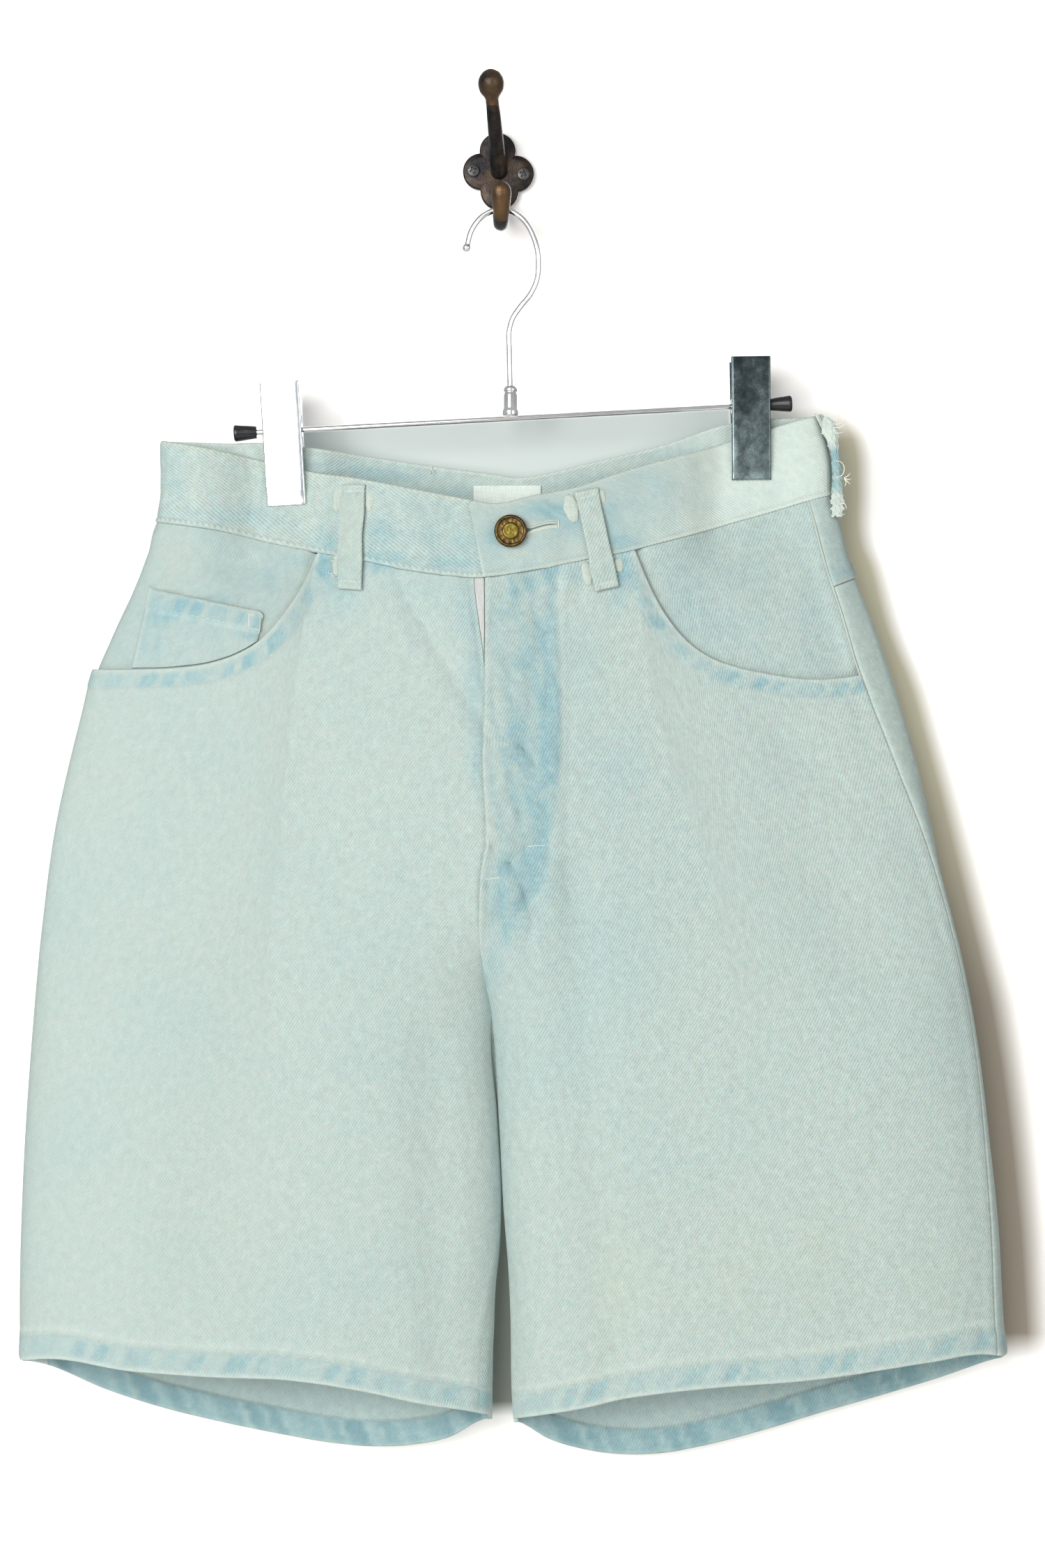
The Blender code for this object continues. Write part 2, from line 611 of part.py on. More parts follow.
def add_facing(side):
    piece, columns, corner = front_columns(side)
    columns = np.append(columns[columns <= corner + 1e-6], corner + 0.03)
    top = piece.edge(columns, two_faced(WAIST_SEAM), drop=SEAM_HALF)
    bottom = np.minimum(piece.edge(columns, mouth_line(side, 6), drop=FACING_BELOW), top - 16)
    heights = np.array([blend(top, bottom, s) for s in (0, 0.2, 0.4, 0.6, 0.8, 1)])
    name = "facing_left" if side == LEFT else "facing_right"
    piece.sheet(name, columns, heights, *UNDER, "denim")


def patch(name, side, face, x, z, layer, finish, inner=None):
    """A sheet laid on the surface by a grid of x and z, within a layer."""
    low, high = (on_face(side, face, x, z, np.full(x.shape, v), inner) for v in layer)
    thick_sheet(name, low, high, finish)


def add_coin_pocket():
    s, t = np.linspace(0, 1, 8)[None, :], np.array((0, 0.5, 1))[:, None]
    top_x, top_z = (blend(a, b, s) for a, b in zip(*COIN_TOP))
    foot_x = blend(*COIN_FOOT, s)
    foot_z = smooth(POCKET_MOUTH[LEFT], foot_x) + 0.9
    x, z = blend(top_x, foot_x, t), blend(top_z, foot_z, t)
    patch("coin_pocket", LEFT, FRONT, x, z, COIN, "denim")


def yoke_line(x, facing):
    return smooth(YOKE_SEAM, x)


def add_back(side):
    piece, columns = back_piece(side), BACK_COLUMNS[side]
    name = "back_left" if side == LEFT else "back_right"
    top = piece.edge(columns, yoke_line, drop=SEAM_HALF)
    bottom = piece.edge(columns, two_faced(HEM_LINE))
    rows = [blend(top, bottom + HEM, s) for s in BACK_ROWS]
    heights = np.array(rows + [bottom + HEM - 1.0, bottom])
    low = np.full(heights.shape, PANEL[0])
    low[-2:] -= HEM_THICK
    piece.sheet(name, columns, heights, low, PANEL[1], "denim_back")


def add_yoke(side):
    piece, columns = back_piece(side), BACK_COLUMNS[side]
    name = "yoke_left" if side == LEFT else "yoke_right"
    top = piece.edge(columns, two_faced(WAIST_SEAM), drop=SEAM_HALF)
    bottom = piece.edge(columns, yoke_line, drop=-SEAM_HALF)
    heights = np.array([blend(top, bottom, s) for s in (0, 0.33, 0.66, 1)])
    piece.sheet(name, columns, heights, *PANEL, "denim_back")


def band_phis(side, face):
    """phi of the waistband's columns on one face: close together about the clip."""
    clip_x = PINCHES[0 if side == LEFT else 1][0]
    inner = BAND_INNER[side]
    near_clip = sorted(float(phi_at(side, face, clip_x + d, -185.0, inner)) for d in CLIP_COLUMNS)
    near_clip = [phi for phi in near_clip if phi > FOLD_PHIS[-1] + 0.05]
    return list(FOLD_PHIS) + near_clip + spread_columns(near_clip[-1], BAND_TURN, 6)


def add_band(side):
    """Half the waistband, from the centre back round the side to the button."""
    ends = (lambda z: 0 * z - BAND_TURN, lambda z: 0 * z + BAND_TURN)
    piece = Piece(side, FRONT, *ends, BAND_INNER[side])
    phis = [-phi for phi in reversed(band_phis(side, BACK))] + [0.0] + band_phis(side, FRONT)
    columns = (np.array(phis) / BAND_TURN + 1) / 2
    top = piece.edge(columns, two_faced(WAIST_TOP))
    bottom = piece.edge(columns, two_faced(WAIST_SEAM), drop=-SEAM_HALF)
    heights = np.array([blend(top, bottom, s) for s in (0, 0.5, 1)])
    x, facing = piece.x(columns[None, :], heights)
    if side == LEFT:
        lift = -OVERLAP_LIFT * ramp(-50, -27, x) * (facing < 0)
    else:
        lift = OVERLAP_LIFT * ramp(38, 17, x) * (facing < 0)
    name = "waistband_left" if side == LEFT else "waistband_right"
    piece.sheet(name, columns, heights, lift, BAND_THICK + lift, "band")


def crossed(x_ends, columns, z_ends, rows):
    return np.meshgrid(np.linspace(*x_ends, columns), np.linspace(*z_ends, rows))


def add_fly_tape():
    x, z = crossed(TAPE_X, 5, TAPE_Z, 8)
    patch("fly_tape", RIGHT, FRONT, x, z, TAPE, "cream", PAST_CENTRE)


def add_label():
    x, z = crossed(LABEL_X, 5, LABEL_Z, 4)
    patch("label", RIGHT, BACK, x, z, LINING, "label", PAST_CENTRE)


def add_back_pocket(side):
    s, t = crossed((0, 1), 9, (0, 1), 6)
    top_z, corner_z, point_z = BACK_POCKET_Z
    x = CENTRE_BACK[0][1] + side * BACK_POCKET_X + (s - 0.5) * blend(*BACK_POCKET_WIDE, t)
    slope = side * BACK_POCKET_SLOPE * (0.5 - s)
    foot_z = blend(point_z, corner_z, np.abs(2 * s - 1))
    z = blend(top_z, foot_z, t) + slope
    name = "pocket_back_left" if side == LEFT else "pocket_back_right"
    patch(name, side, BACK, x, z, PATCH, "denim_back")


def add_loop(name, side, face, x0, z0, x1, z1):
    """A flat loop over the waistband, lying off it between its two tacked ends."""
    t = np.array((0, 0.12, 0.3, 0.5, 0.7, 0.88, 1))[:, None]
    s = np.array((-0.5, 0, 0.5))[None, :]
    x = blend(x0, x1, t) + s * LOOP_WIDE
    z = blend(z0, z1, t) + s * LOOP_WIDE * (x1 - x0) / (z0 - z1)
    off = BAND_THICK + LOOP_OFF + LOOP_SLACK * np.sin(np.pi * t) + 0 * s
    inner = BAND_INNER[side] if face == FRONT else PANEL_INNER[side]
    low, high = (on_face(side, face, x, z, v, inner) for v in (off, off + LOOP_THICK))
    thick_sheet(name, low, high, "band")


def add_side_loop(name, side, top_z, low_z, stand):
    """A loop over the folded side, standing off it and tacked to the panel at its foot."""
    t = np.linspace(0, 1, 7)[:, None]
    s = np.array((-0.5, -0.35, -0.18, 0, 0.5))[None, :]
    z = blend(top_z, low_z, t) + 0 * s
    y = MIDPLANE_Y + s * LOOP_WIDE + 0 * t
    wrap = SIDE_LOOP_WRAP * np.maximum(-2 * s, 0) ** 2
    fold = smooth(OUTER[side], z) - side * (REACH + wrap)
    seat = blend(BAND_THICK, PANEL[1], ramp(0.8, 1, t)) + LOOP_OFF
    off = seat + stand * np.sin(np.pi * blend(0.1, 1, t)) + 0 * s
    low, high = (np.stack([fold + side * v, y, z], axis=-1) for v in (off, off + LOOP_THICK))
    thick_sheet(name, low, high, "band")


def add_button():
    seat = np.array(BAND_THICK + OVERLAP_LIFT + BUTTON_OFF)
    x, z = (np.array(v) for v in BUTTON_AT)
    centre = on_face(RIGHT, FRONT, x, z, seat, BAND_INNER[RIGHT])
    turned("button", BUTTON_PROFILE, "bronze", centre, "-y", 28)


# --- hanger ------------------------------------------------------------------------------------


def leaf_profile(own):
    """(y, z) outline of a clip leaf, flat with its jaw turned in; own is -1 in front, 1 behind."""
    line = (
        (-CLIP_DOWN, JAW), (3 - CLIP_DOWN, JAW), (8 - CLIP_DOWN, JAW + 1.1), (0, JAW + 3.4),
        (CLIP_UP, JAW + 5.6),
    )
    near = [(own * y, z) for z, y in line]
    far = [(own * (y + LEAF_THICK), z) for z, y in reversed(line)]
    return near + far


def ear_profile(own):
    """(y, z) outline of an ear: from the leaf to a round end about the bar."""
    back = own * (JAW + 3.6)
    turns = np.linspace(-math.pi / 2, math.pi / 2, 9)
    arc = [(-own * EAR_R * math.cos(a), EAR_R * math.sin(a)) for a in turns]
    return [(back, -EAR_R), *arc, (back, EAR_R)]


def add_clip(name, parent):
    centre = CLIP_AT[name]
    long_rod = ((0, -20), (BAR_R + GAP, -20), (BAR_R + GAP, 20), (0, 20))
    hole = turned("cutter_bar_" + name, long_rod, None, (centre, 0, 0), "x", 16, parent)
    there = Matrix.Translation(Vector((centre, 0, 0)) * MM)
    lean = there @ Matrix.Rotation(math.radians(CLIP_LEAN[name]), 4, "Y") @ there.inverted()
    for own, word in ((FRONT, "front"), (BACK, "back")):
        half = CLIP_WIDE / 2
        bm = prism(leaf_profile(own), "x", centre - half, centre + half)
        bmesh.ops.transform(bm, matrix=lean, verts=bm.verts)
        leaf = finish_mesh(f"clip_{name}_{word}", bm, "chrome", parent)
        inset = 0 if own == FRONT else EAR_THICK + GAP
        for hand in (-1, 1):
            edge = centre + hand * (half - inset)
            shape = prism(ear_profile(own), "x", edge, edge - hand * EAR_THICK)
            ear = finish_mesh(f"cutter_ear_{name}_{word}_{hand + 1}", shape, None, parent)
            boolean(leaf, ear, "UNION")
        boolean(leaf, hole, "DIFFERENCE")
    ring = ((BAR_R + GAP, -6.2), (3.1, -6.2), (3.1, 6.2), (BAR_R + GAP, 6.2))
    turned(f"clip_{name}_spring", ring, "chrome", (centre, 0, 0), "x", 16, parent)


def add_hanger():
    hanger = bpy.data.objects.new("hanger", None)
    bpy.context.collection.objects.link(hanger)
    hanger.location = Vector(HANGER_AT) * MM
    hanger.rotation_euler = (0, -math.radians(HANGER_TILT), 0)
    rod = ((0, BAR_FROM), (BAR_R, BAR_FROM), (BAR_R, BAR_TO), (0, BAR_TO))
    turned("hanger_bar", rod, "chrome", (0, 0, 0), "x", 12, hanger)
    for name, end, axis in (("cap_left", BAR_FROM, "-x"), ("cap_right", BAR_TO, "x")):
        bore = BAR_R + GAP
        profile = (
            (bore, 2.5 - CAP_LONG), (CAP_R_IN, 2.5 - CAP_LONG), (CAP_R_OUT, 1.8),
            (CAP_R_OUT - 0.8, 2.6), (0, 2.6), (0, GAP), (bore, GAP),
        )
        turned(name, profile, "black", (end, 0, 0), axis, 18, hanger)
    for name in CLIP_AT:
        add_clip(name, hanger)
    bore = WIRE_R + GAP
    seat = BAR_R + GAP
    ferrule = (
        (bore, 3.2), (bore, 17.3), (2.6, 17.3), (3.5, 16.2), (3.7, 14.6), (3.7, 4.2), (4.3, 3.2),
        (4.3, seat), (0, seat), (0, 3.2),
    )
    turned("hanger_ferrule", ferrule, "chrome", HANGER_AT, "z", 18)
    points = smooth_route([(x, MIDPLANE_Y, z) for x, z in WIRE_ROUTE], 36)
    out = (points[0] - points[1]) / np.linalg.norm(points[0] - points[1])
    turns = np.radians((172, 150, 120, 90, 60, 48))
    route = [points[0] + out * BALL_R * (1 - math.cos(a)) for a in turns] + list(points)
    radii = [BALL_R * math.sin(a) for a in turns] + [WIRE_R] * len(points)
    tube_curve("hanger_hook", route, radii, "chrome")


# --- wall hook -----------------------------------------------------------------------------------


def plate_outline(count=56):
    """The four-lobed outline: the furthest lobe in each direction."""
    outline = []
    for a in np.arange(count) * 2 * math.pi / count:
        way = np.array((math.cos(a), math.sin(a)))
        far = 0.0
        for x, z, r in LOBES:
            ahead = way @ (x, z)
            inside = r * r - (x * x + z * z - ahead**2)
            if inside > 0:
                far = max(far, ahead + math.sqrt(inside))
        outline.append(tuple(way * far))
    return outline


def mesh_of(made):
    """A curve object as a mesh object, of the same name."""
    name = made.name
    shown = made.evaluated_get(bpy.context.evaluated_depsgraph_get())
    mesh = bpy.data.meshes.new_from_object(shown)
    bpy.data.objects.remove(made)
    bm = bmesh.new()
    bm.from_mesh(mesh)
    bmesh.ops.remove_doubles(bm, verts=bm.verts, dist=1e-6)
    return finish_mesh(name, bm, None)


def add_wall_hook():
    bm = prism(plate_outline(), "y", 0, -PLATE_THICK)
    front = [f for f in bm.faces if f.calc_center_median().y < -PLATE_THICK * MM * 0.9]
    bmesh.ops.inset_region(bm, faces=front, thickness=1.2 * MM, depth=0)
    bmesh.ops.translate(bm, vec=Vector((0, -PLATE_RISE, 0)) * MM, verts=front[0].verts)
    plate = finish_mesh("wall_hook", bm, "iron", sharp=30)
    for name, rows in (("cutter_upper", UPPER_HOOK), ("cutter_lower", LOWER_HOOK)):
        route, radii = [row[:3] for row in rows], [row[3] for row in rows]
        arm = mesh_of(tube_curve(name, route, radii, None, sides=4))
        boolean(plate, arm, "UNION")
    head = ((0, 0), (3.5, 0), (3.5, 0.7), (2.6, 1.4), (0, 1.7))
    for k, (x, z) in enumerate(SCREWS_AT):
        at = (x, -PLATE_THICK - PLATE_RISE - GAP, z)
        turned(f"screw_{k + 1}", head, "iron", at, "-y", 16)


def main():
    for old in list(bpy.data.objects):
        bpy.data.objects.remove(old)
    for side in (LEFT, RIGHT):
        add_front(side)
        add_back(side)
        add_yoke(side)
        add_facing(side)
        add_back_pocket(side)
        add_band(side)
    add_coin_pocket()
    add_fly_tape()
    add_label()
    add_button()
    for row in LOOPS:
        add_loop(*row)
    add_side_loop("loop_side_right", RIGHT, *SIDE_LOOP)
    add_hanger()
    add_wall_hook()


main()
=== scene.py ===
import json
import math

import bmesh
import bpy
import numpy as np
from mathutils import Matrix, Vector

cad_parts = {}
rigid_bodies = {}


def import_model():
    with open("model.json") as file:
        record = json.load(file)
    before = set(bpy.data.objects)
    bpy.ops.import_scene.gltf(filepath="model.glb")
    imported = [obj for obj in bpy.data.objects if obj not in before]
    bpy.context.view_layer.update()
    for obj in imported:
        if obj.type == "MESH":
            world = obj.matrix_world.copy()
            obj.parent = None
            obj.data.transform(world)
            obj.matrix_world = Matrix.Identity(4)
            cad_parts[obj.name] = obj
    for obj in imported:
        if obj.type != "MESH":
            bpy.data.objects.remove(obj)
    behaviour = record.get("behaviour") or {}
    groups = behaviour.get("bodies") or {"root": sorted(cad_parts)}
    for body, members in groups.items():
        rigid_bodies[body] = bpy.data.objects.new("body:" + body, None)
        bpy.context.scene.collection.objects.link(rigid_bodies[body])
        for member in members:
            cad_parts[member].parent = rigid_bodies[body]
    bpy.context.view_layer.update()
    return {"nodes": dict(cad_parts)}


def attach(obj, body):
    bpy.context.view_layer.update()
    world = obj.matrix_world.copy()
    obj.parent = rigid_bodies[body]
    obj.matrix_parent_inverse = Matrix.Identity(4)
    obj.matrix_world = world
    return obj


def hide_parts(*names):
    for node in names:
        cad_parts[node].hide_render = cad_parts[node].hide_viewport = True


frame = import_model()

# Sizes are in millimetres, and become metres when a mesh is made. "left" and "right" are the
# viewer's. The shorts are one surface: across each half runs the angle phi, from 0 at the folded
# side to pi at the centre or inner leg, on the front or the back face. Past 0 or pi it goes round
# the fold to the other face. Every cloth piece is a stretch of that surface, moved out by its layer.

MM = 0.001
LEFT, RIGHT = -1, 1
FRONT, BACK = -1, 1
SIDE_WORD = {LEFT: "left", RIGHT: "right"}

# --- sizes of the shorts, as the solids have them ---

BAND_THICK = 3.2
GAP = 0.3
UNDER = (-1.0, 0.0)
TAPE = (-0.4, 0.6)
LINING = (-1.4, -0.4)
COIN = (0.4, 1.4)
PANEL = (1.3, 2.5)
PATCH = (3.5, 4.5)
REACH = PANEL[1]
MIDPLANE_Y = -28.0
HALF_GAP = 0.25
HEM_THICK = 1.4
SEAM_HALF = 0.05
SEAM_PHI = 0.0008
TUCK = 1.8  # how far the left front reaches under the fly's edge

# The folded sides: z, x
OUTER = {
    LEFT: (
        (-149, -178.5), (-193, -181.4), (-206, -187), (-221, -192.5), (-238, -200), (-255, -208),
        (-271, -215), (-296, -221.5), (-318, -227), (-352, -234.5), (-407, -242), (-457, -246.5),
        (-529, -251.4), (-595, -253.6), (-637, -253.6),
    ),
    RIGHT: (
        (-136, 169), (-158, 176), (-178, 177.5), (-190, 181), (-222, 190), (-242, 197.8), (-276, 209.7),
        (-326, 224), (-387, 237.5), (-422, 246), (-464, 254), (-511, 260.5), (-565, 266), (-619, 269),
        (-637, 270.5),
    ),
}
FLY_EDGE = (
    (-222, -6.6), (-243, -6.5), (-268, -6.7), (-295, -7), (-308, -7.8), (-341, -6.9), (-357, -6.1),
    (-380, -9), (-406, -9.6), (-426, -8.8), (-437, -7), (-452, -4.2),
)
FLY_OPENS = ((-224, -12.3), (-236, -11.2), (-246, -9.9), (-262, -7.6), (-276, -6.2))
CENTRE_BACK = ((-165, 11.2), (-300, 9.0), (-400, 3.0), (-440, -2.0))
INNER_LEG = {
    RIGHT: (
        (-461, -2.7), (-508, 0.6), (-557, 3.2), (-590, 5.8), (-618, 6.9), (-650, 7.3), (-670, 8.4),
    ),
    LEFT: (
        (-461, -3.2), (-508, -0.2), (-557, 1.9), (-575, 1.2), (-600, -1.2), (-618, -1.8), (-652, -2.7),
        (-670, -2.9),
    ),
}


def moved(rows, dx):
    return tuple((z, x + dx) for z, x in rows)


PANEL_INNER = {
    RIGHT: {FRONT: FLY_EDGE + INNER_LEG[RIGHT], BACK: CENTRE_BACK + INNER_LEG[RIGHT]},
    LEFT: {
        FRONT: FLY_OPENS + moved(FLY_EDGE[3:], TUCK) + INNER_LEG[LEFT],
        BACK: moved(CENTRE_BACK, -0.1) + INNER_LEG[LEFT],
    },
}
BAND_INNER = {
    RIGHT: {FRONT: ((-224, -7.5), (-184, -15.4)), BACK: ((-225, 11.2), (-160, 11.2))},
    LEFT: {FRONT: ((-224, 17.0), (-184, 17.0)), BACK: ((-225, 11.1), (-160, 11.1))},
}
PAST_CENTRE = dict.fromkeys((FRONT, BACK), ((-400, -24), (-100, -24)))

# Level lines: x, z
WAIST_TOP = {
    FRONT: (
        (-178.5, -149), (-126, -159.6), (-101, -165.1), (-78, -169.5), (-50, -175.4), (-15, -182),
        (-4, -184.5), (20, -180), (40, -176), (67, -167), (87, -161), (122, -150), (145, -142.5),
        (169, -136),
    ),
    BACK: (
        (-178.5, -149), (-157, -149.3), (-140, -150), (-128, -150), (-104, -152), (-73, -155.5),
        (-38, -160.5), (0, -165.5), (11, -167), (25, -165), (50, -159), (88, -150), (124, -139.5),
        (169, -136),
    ),
}
WAIST_SEAM = {
    FRONT: (
        (-181.4, -193), (-148, -198), (-111, -206.5), (-83, -212), (-68, -215), (-38, -221),
        (-10, -223.5), (20, -219.5), (47, -214), (63, -211), (86, -205), (124, -194), (161, -183),
        (177.5, -178),
    ),
    BACK: (
        (-181.4, -193), (-130, -192), (-104, -195), (-73, -199), (-38, -204.5), (0, -209.5), (11, -211),
        (25, -209.5), (50, -203), (88, -194), (124, -183), (177.5, -178),
    ),
}
YOKE_SEAM = (
    (-192, -234), (-150, -240), (-80, -255), (-20, -268), (11, -272), (40, -267), (110, -248),
    (165, -232), (190, -222),
)
HEM_LINE = {
    FRONT: (
        (-253.6, -637), (-240, -634), (-188, -638.4), (-151, -641), (-107, -643), (-77, -647.5),
        (-37, -657), (-14, -662), (-2.9, -666), (8.4, -667.5), (17, -665), (43, -659), (79, -651),
        (110, -647), (160, -643), (193, -639), (227, -634), (256, -631.5), (270.5, -635),
    ),
    BACK: (
        (-253.6, -637), (-239, -642), (-212, -655), (-183, -665), (-145, -674.5), (-118, -680),
        (-89, -685), (-67, -686.7), (-47, -685.5), (-27, -681), (-2.9, -668), (8.4, -669), (27, -681),
        (48, -688), (83, -690.8), (113, -686), (145, -677.5), (179, -667), (208, -658.5), (237, -649),
        (270.5, -635),
    ),
}
POCKET_MOUTH = {
    LEFT: (
        (-94.3, -209), (-101.3, -225), (-110.8, -241), (-122.5, -254.5), (-135.6, -262.8),
        (-149.5, -267.6), (-167.8, -270.2), (-192, -271), (-216, -271),
    ),
    RIGHT: (
        (72.1, -209), (79, -226), (88.2, -243), (98.8, -256), (110.5, -264.5), (125.5, -270),
        (143, -273.5), (160.6, -276), (178, -275.8), (196, -273),
    ),
}
BULGE = (
    (-136, 17, 13), (-190, 20, 14), (-260, 23, 16), (-400, 24, 18), (-560, 25, 18), (-690, 23, 17),
)
SIDE_SEAM = {
    LEFT: ((-200, -0.42), (-700, -0.42)),
    RIGHT: (
        (-183, 0.5), (-225, 0.52), (-270, 0.55), (-322, 0.44), (-387, 0.2), (-426, 0.18), (-475, 0.2),
        (-540, 0.26), (-630, 0.3),
    ),
}
INSEAM_TURN = ((-560, 0.0), (-600, 0.16), (-632, 0.30), (-665, 0.33))
CROTCH_Z, FORK_Z = -456, -392
TORSO_FULL, LEG_FULL = 2.3, 3.0

# The main creases and ridges, as the solids have them: x0, z0, x1, z1, width, height
FOLDS = {
    FRONT: (
        (-50, -228, -9, -298, 7, -1.6), (31, -260, 31, -395, 6, 1.2), (42, -380, 60, -640, 13, -3),
        (20, -420, 22, -640, 10, 1.5), (3, -300, 20, -320, 5, -1), (-95, -330, -150, -560, 30, -2),
        (150, -300, 190, -430, 22, -2), (-35, -470, -30, -640, 14, -2.5),
    ),
    BACK: (
        (-30, -290, -14, -425, 12, -2), (34, -290, 16, -425, 12, -2), (-130, -440, -120, -640, 26, 2),
        (140, -440, 130, -640, 26, 2),
    ),
}
# Finer creases, only here: the same columns
CREASES = {
    FRONT: (
        (-52.5, -223, -40, -246, 3.4, -0.6), (-40, -246, -14, -286, 4.2, -0.55),
        (-14, -286, -4, -308, 3.2, -0.6), (-46, -224, -34, -243, 4, 0.5), (-33, -245, -8, -284, 5, 0.4),
        (2, -299, 10, -303, 3.2, 0.9), (10, -303, 26, -316, 3.4, 0.8), (2, -306, 13, -312, 2.2, -1.2),
        (13, -312, 22, -320, 2.6, -0.7), (6, -266, 9.2, -301, 2.6, -0.8),
        (12, -272, 14, -298, 3.2, 0.7), (-1, -356, 12, -366, 4.2, 0.9), (-3, -364, 6, -373, 2.6, -1.3),
        (6, -373, 15, -364, 2.4, -1.1), (4.5, -376, 9, -390, 1.9, 1.3), (9, -390, 15, -404, 2.1, 1.2),
        (0.5, -379, 2.5, -408, 2.4, -0.8), (13.5, -384, 18.5, -402, 2.6, -0.7),
        (21, -368, 27, -392, 3.2, 0.8), (-4.6, -382, -4.2, -424, 1.8, -0.5),
        (15.5, -410, 19.5, -440, 3, -0.9), (5, -404, 9, -430, 3, 0.7), (14, -238, 16, -258, 3.4, 0.7),
        (19.5, -236, 21, -262, 3, -0.8), (8, -328, 12, -350, 3.2, -0.7), (18, -330, 21, -352, 3.6, 0.7),
        (22, -276, 25, -300, 3, 0.6), (34, -262, 36, -398, 3.5, -0.5), (26, -250, 27, -292, 3.2, -0.7),
        (38, -220, 33, -239, 2.6, 0.5), (45, -219, 42, -237, 2.5, -0.5), (53, -217, 50, -233, 2.5, 0.4),
        (28, -221, 26, -236, 2.5, -0.4), (-24, -224, -22, -242, 3, 0.4),
        (-62, -217, -58, -236, 3, -0.4), (148, -310, 190, -340, 6, -0.7),
        (140, -330, 200, -372, 9, 0.5), (-195, -333, -140, -333, 3, 0.35),
        (-195, -337, -140, -337, 3, -0.3), (-185, -448, -35, -448, 5, -0.4),
        (70, -448, 200, -448, 5, -0.4), (-2, -490, -1, -505, 2, -0.6), (-150, -220, -110, -213, 4, 0.5),
        (-160, -214, -118, -224, 5, -0.5), (95, -214, 130, -206, 5, 0.4),
        (-62, -600, -58, -648, 12, -0.8), (72, -600, 66, -650, 12, -0.9),
        (-180, -560, -200, -634, 16, 0.8), (180, -560, 196, -634, 16, -0.9),
    ),
    BACK: (
        (-100, -300, -60, -420, 14, 0.8), (100, -300, 70, -420, 14, 0.8),
        (-60, -430, -20, -470, 8, -0.9), (60, -430, 24, -470, 8, -0.9),
        (-190, -560, -180, -650, 16, -0.9), (190, -560, 180, -650, 16, -0.9),
    ),
}
OVERLAP_LIFT = 1.75
TURN_END = math.pi - 0.0005
BAND_TURN = math.pi - 0.001
PINCH_FLAT, PINCH_FALL = 13.0, 22.0
PINCHES = ((-114.0, -183.0), (133.5, -170.0))

# Belt loops: how they lie, and the torn one at the right side
LOOP_WIDE, LOOP_THICK = 12.0, 1.6
LOOP_OFF, LOOP_SLACK = 0.6, 1.0
LOOPS = (  # name, side, face, x and z of the top, x and z of the foot
    ("loop_front_left", LEFT, FRONT, -73.6, -174, -76.2, -230),
    ("loop_front_right", RIGHT, FRONT, 46.4, -177.5, 57.3, -229.5),
    ("loop_side_left", LEFT, BACK, -158, -149.5, -159, -200),
    ("loop_back_left", LEFT, BACK, -36, -162.5, -38, -215),
    ("loop_back_right", RIGHT, BACK, 60, -158.5, 62, -211),
)
SIDE_LOOP = (-134.5, -187.0, 2.6)
SIDE_LOOP_WRAP = 3.4

# What lies on or under the panels
FACING_BELOW = 9.0
COIN_TOP = ((-183.4, -227.9), (-122.7, -241.1))
COIN_FOOT, COIN_WIDE = (-193.0, -125.5), 62.0
TAPE_X, TAPE_FOOT = (-19, 8), -330
LABEL_X, LABEL_Z = (-13, 23), (-171.5, -201)
BACK_POCKET_X, BACK_POCKET_WIDE = 98.0, (132.0, 118.0)
BACK_POCKET_Z = (-290.0, -402.0, -424.0)
BACK_POCKET_SLOPE = 10.0
BUTTON_AT = (7.0, -199.6)

# The fly's topstitch: z, x
J_LINE = (
    (-222, 31.1), (-333, 31.1), (-352, 29.5), (-365.5, 26), (-378, 24), (-386.6, 22), (-394, 16.5),
    (-398, 12), (-402, 3), (-404, -9),
)
FLY_RISE = 1.0

# Sewing
MOUTH_EDGE = 10.5  # width of the pocket mouth's turned edge
COIN_HEM = 10.5
HEM_STITCH = 13.3  # height of the hem's stitching
STITCH_LONG, STITCH_PITCH, STITCH_R = 2.2, 2.9, 0.2
HEM_PUCKER, MOUTH_PUCKER, BAND_PUCKER = 16.5, 14.0, 19.0  # spacing of the puckers along a seam

CELL = {"front": 2.0, "back": 3.0, "band": 1.7}


# --- small helpers ---


def smooth(rows, at, column=1):
    """A smooth curve through a table's rows, read at the first column's values."""
    rows = np.array(sorted(rows), float)
    t, v = rows[:, 0], rows[:, column]
    slope = np.gradient(v, t)
    at = np.clip(np.asarray(at, float), t[0], t[-1])
    i = np.clip(np.searchsorted(t, at) - 1, 0, len(t) - 2)
    wide = t[i + 1] - t[i]
    s = (at - t[i]) / wide
    return (
        (1 + 2 * s) * (1 - s) ** 2 * v[i]
        + s * (1 - s) ** 2 * wide * slope[i]
        + s * s * (3 - 2 * s) * v[i + 1]
        + s * s * (s - 1) * wide * slope[i + 1]
    )


def shares(count):
    return np.linspace(0, 1, count)


def ramp(low, high, at):
    s = np.clip((at - low) / (high - low), 0, 1)
    return s * s * (3 - 2 * s)


def blend(a, b, s):
    return a + (b - a) * s


def bump_at(at, centre, width):
    """1 at the centre, falling to 0 about a width away."""
    return np.exp(-(((at - centre) / width) ** 2))


def wander(a, b=0.0, seed=0.0):
    """A soft irregular wave between about -1 and 1."""
    return (
        np.sin(a + 1.3 * np.sin(0.37 * a + seed) + seed)
        + 0.5 * np.sin(1.71 * a + 2.1 * b + 2.3 * seed)
        + 0.3 * np.sin(2.63 * b - 0.6 * a + 1.7 * seed)
    ) / 1.5


def pucker(along, pitch, seed):
    """The even but not quite regular ripple that a seam's thread draws up."""
    turn = 2 * math.pi * along / pitch
    return np.sin(turn + 0.9 * np.sin(turn / 3.3 + seed) + seed)


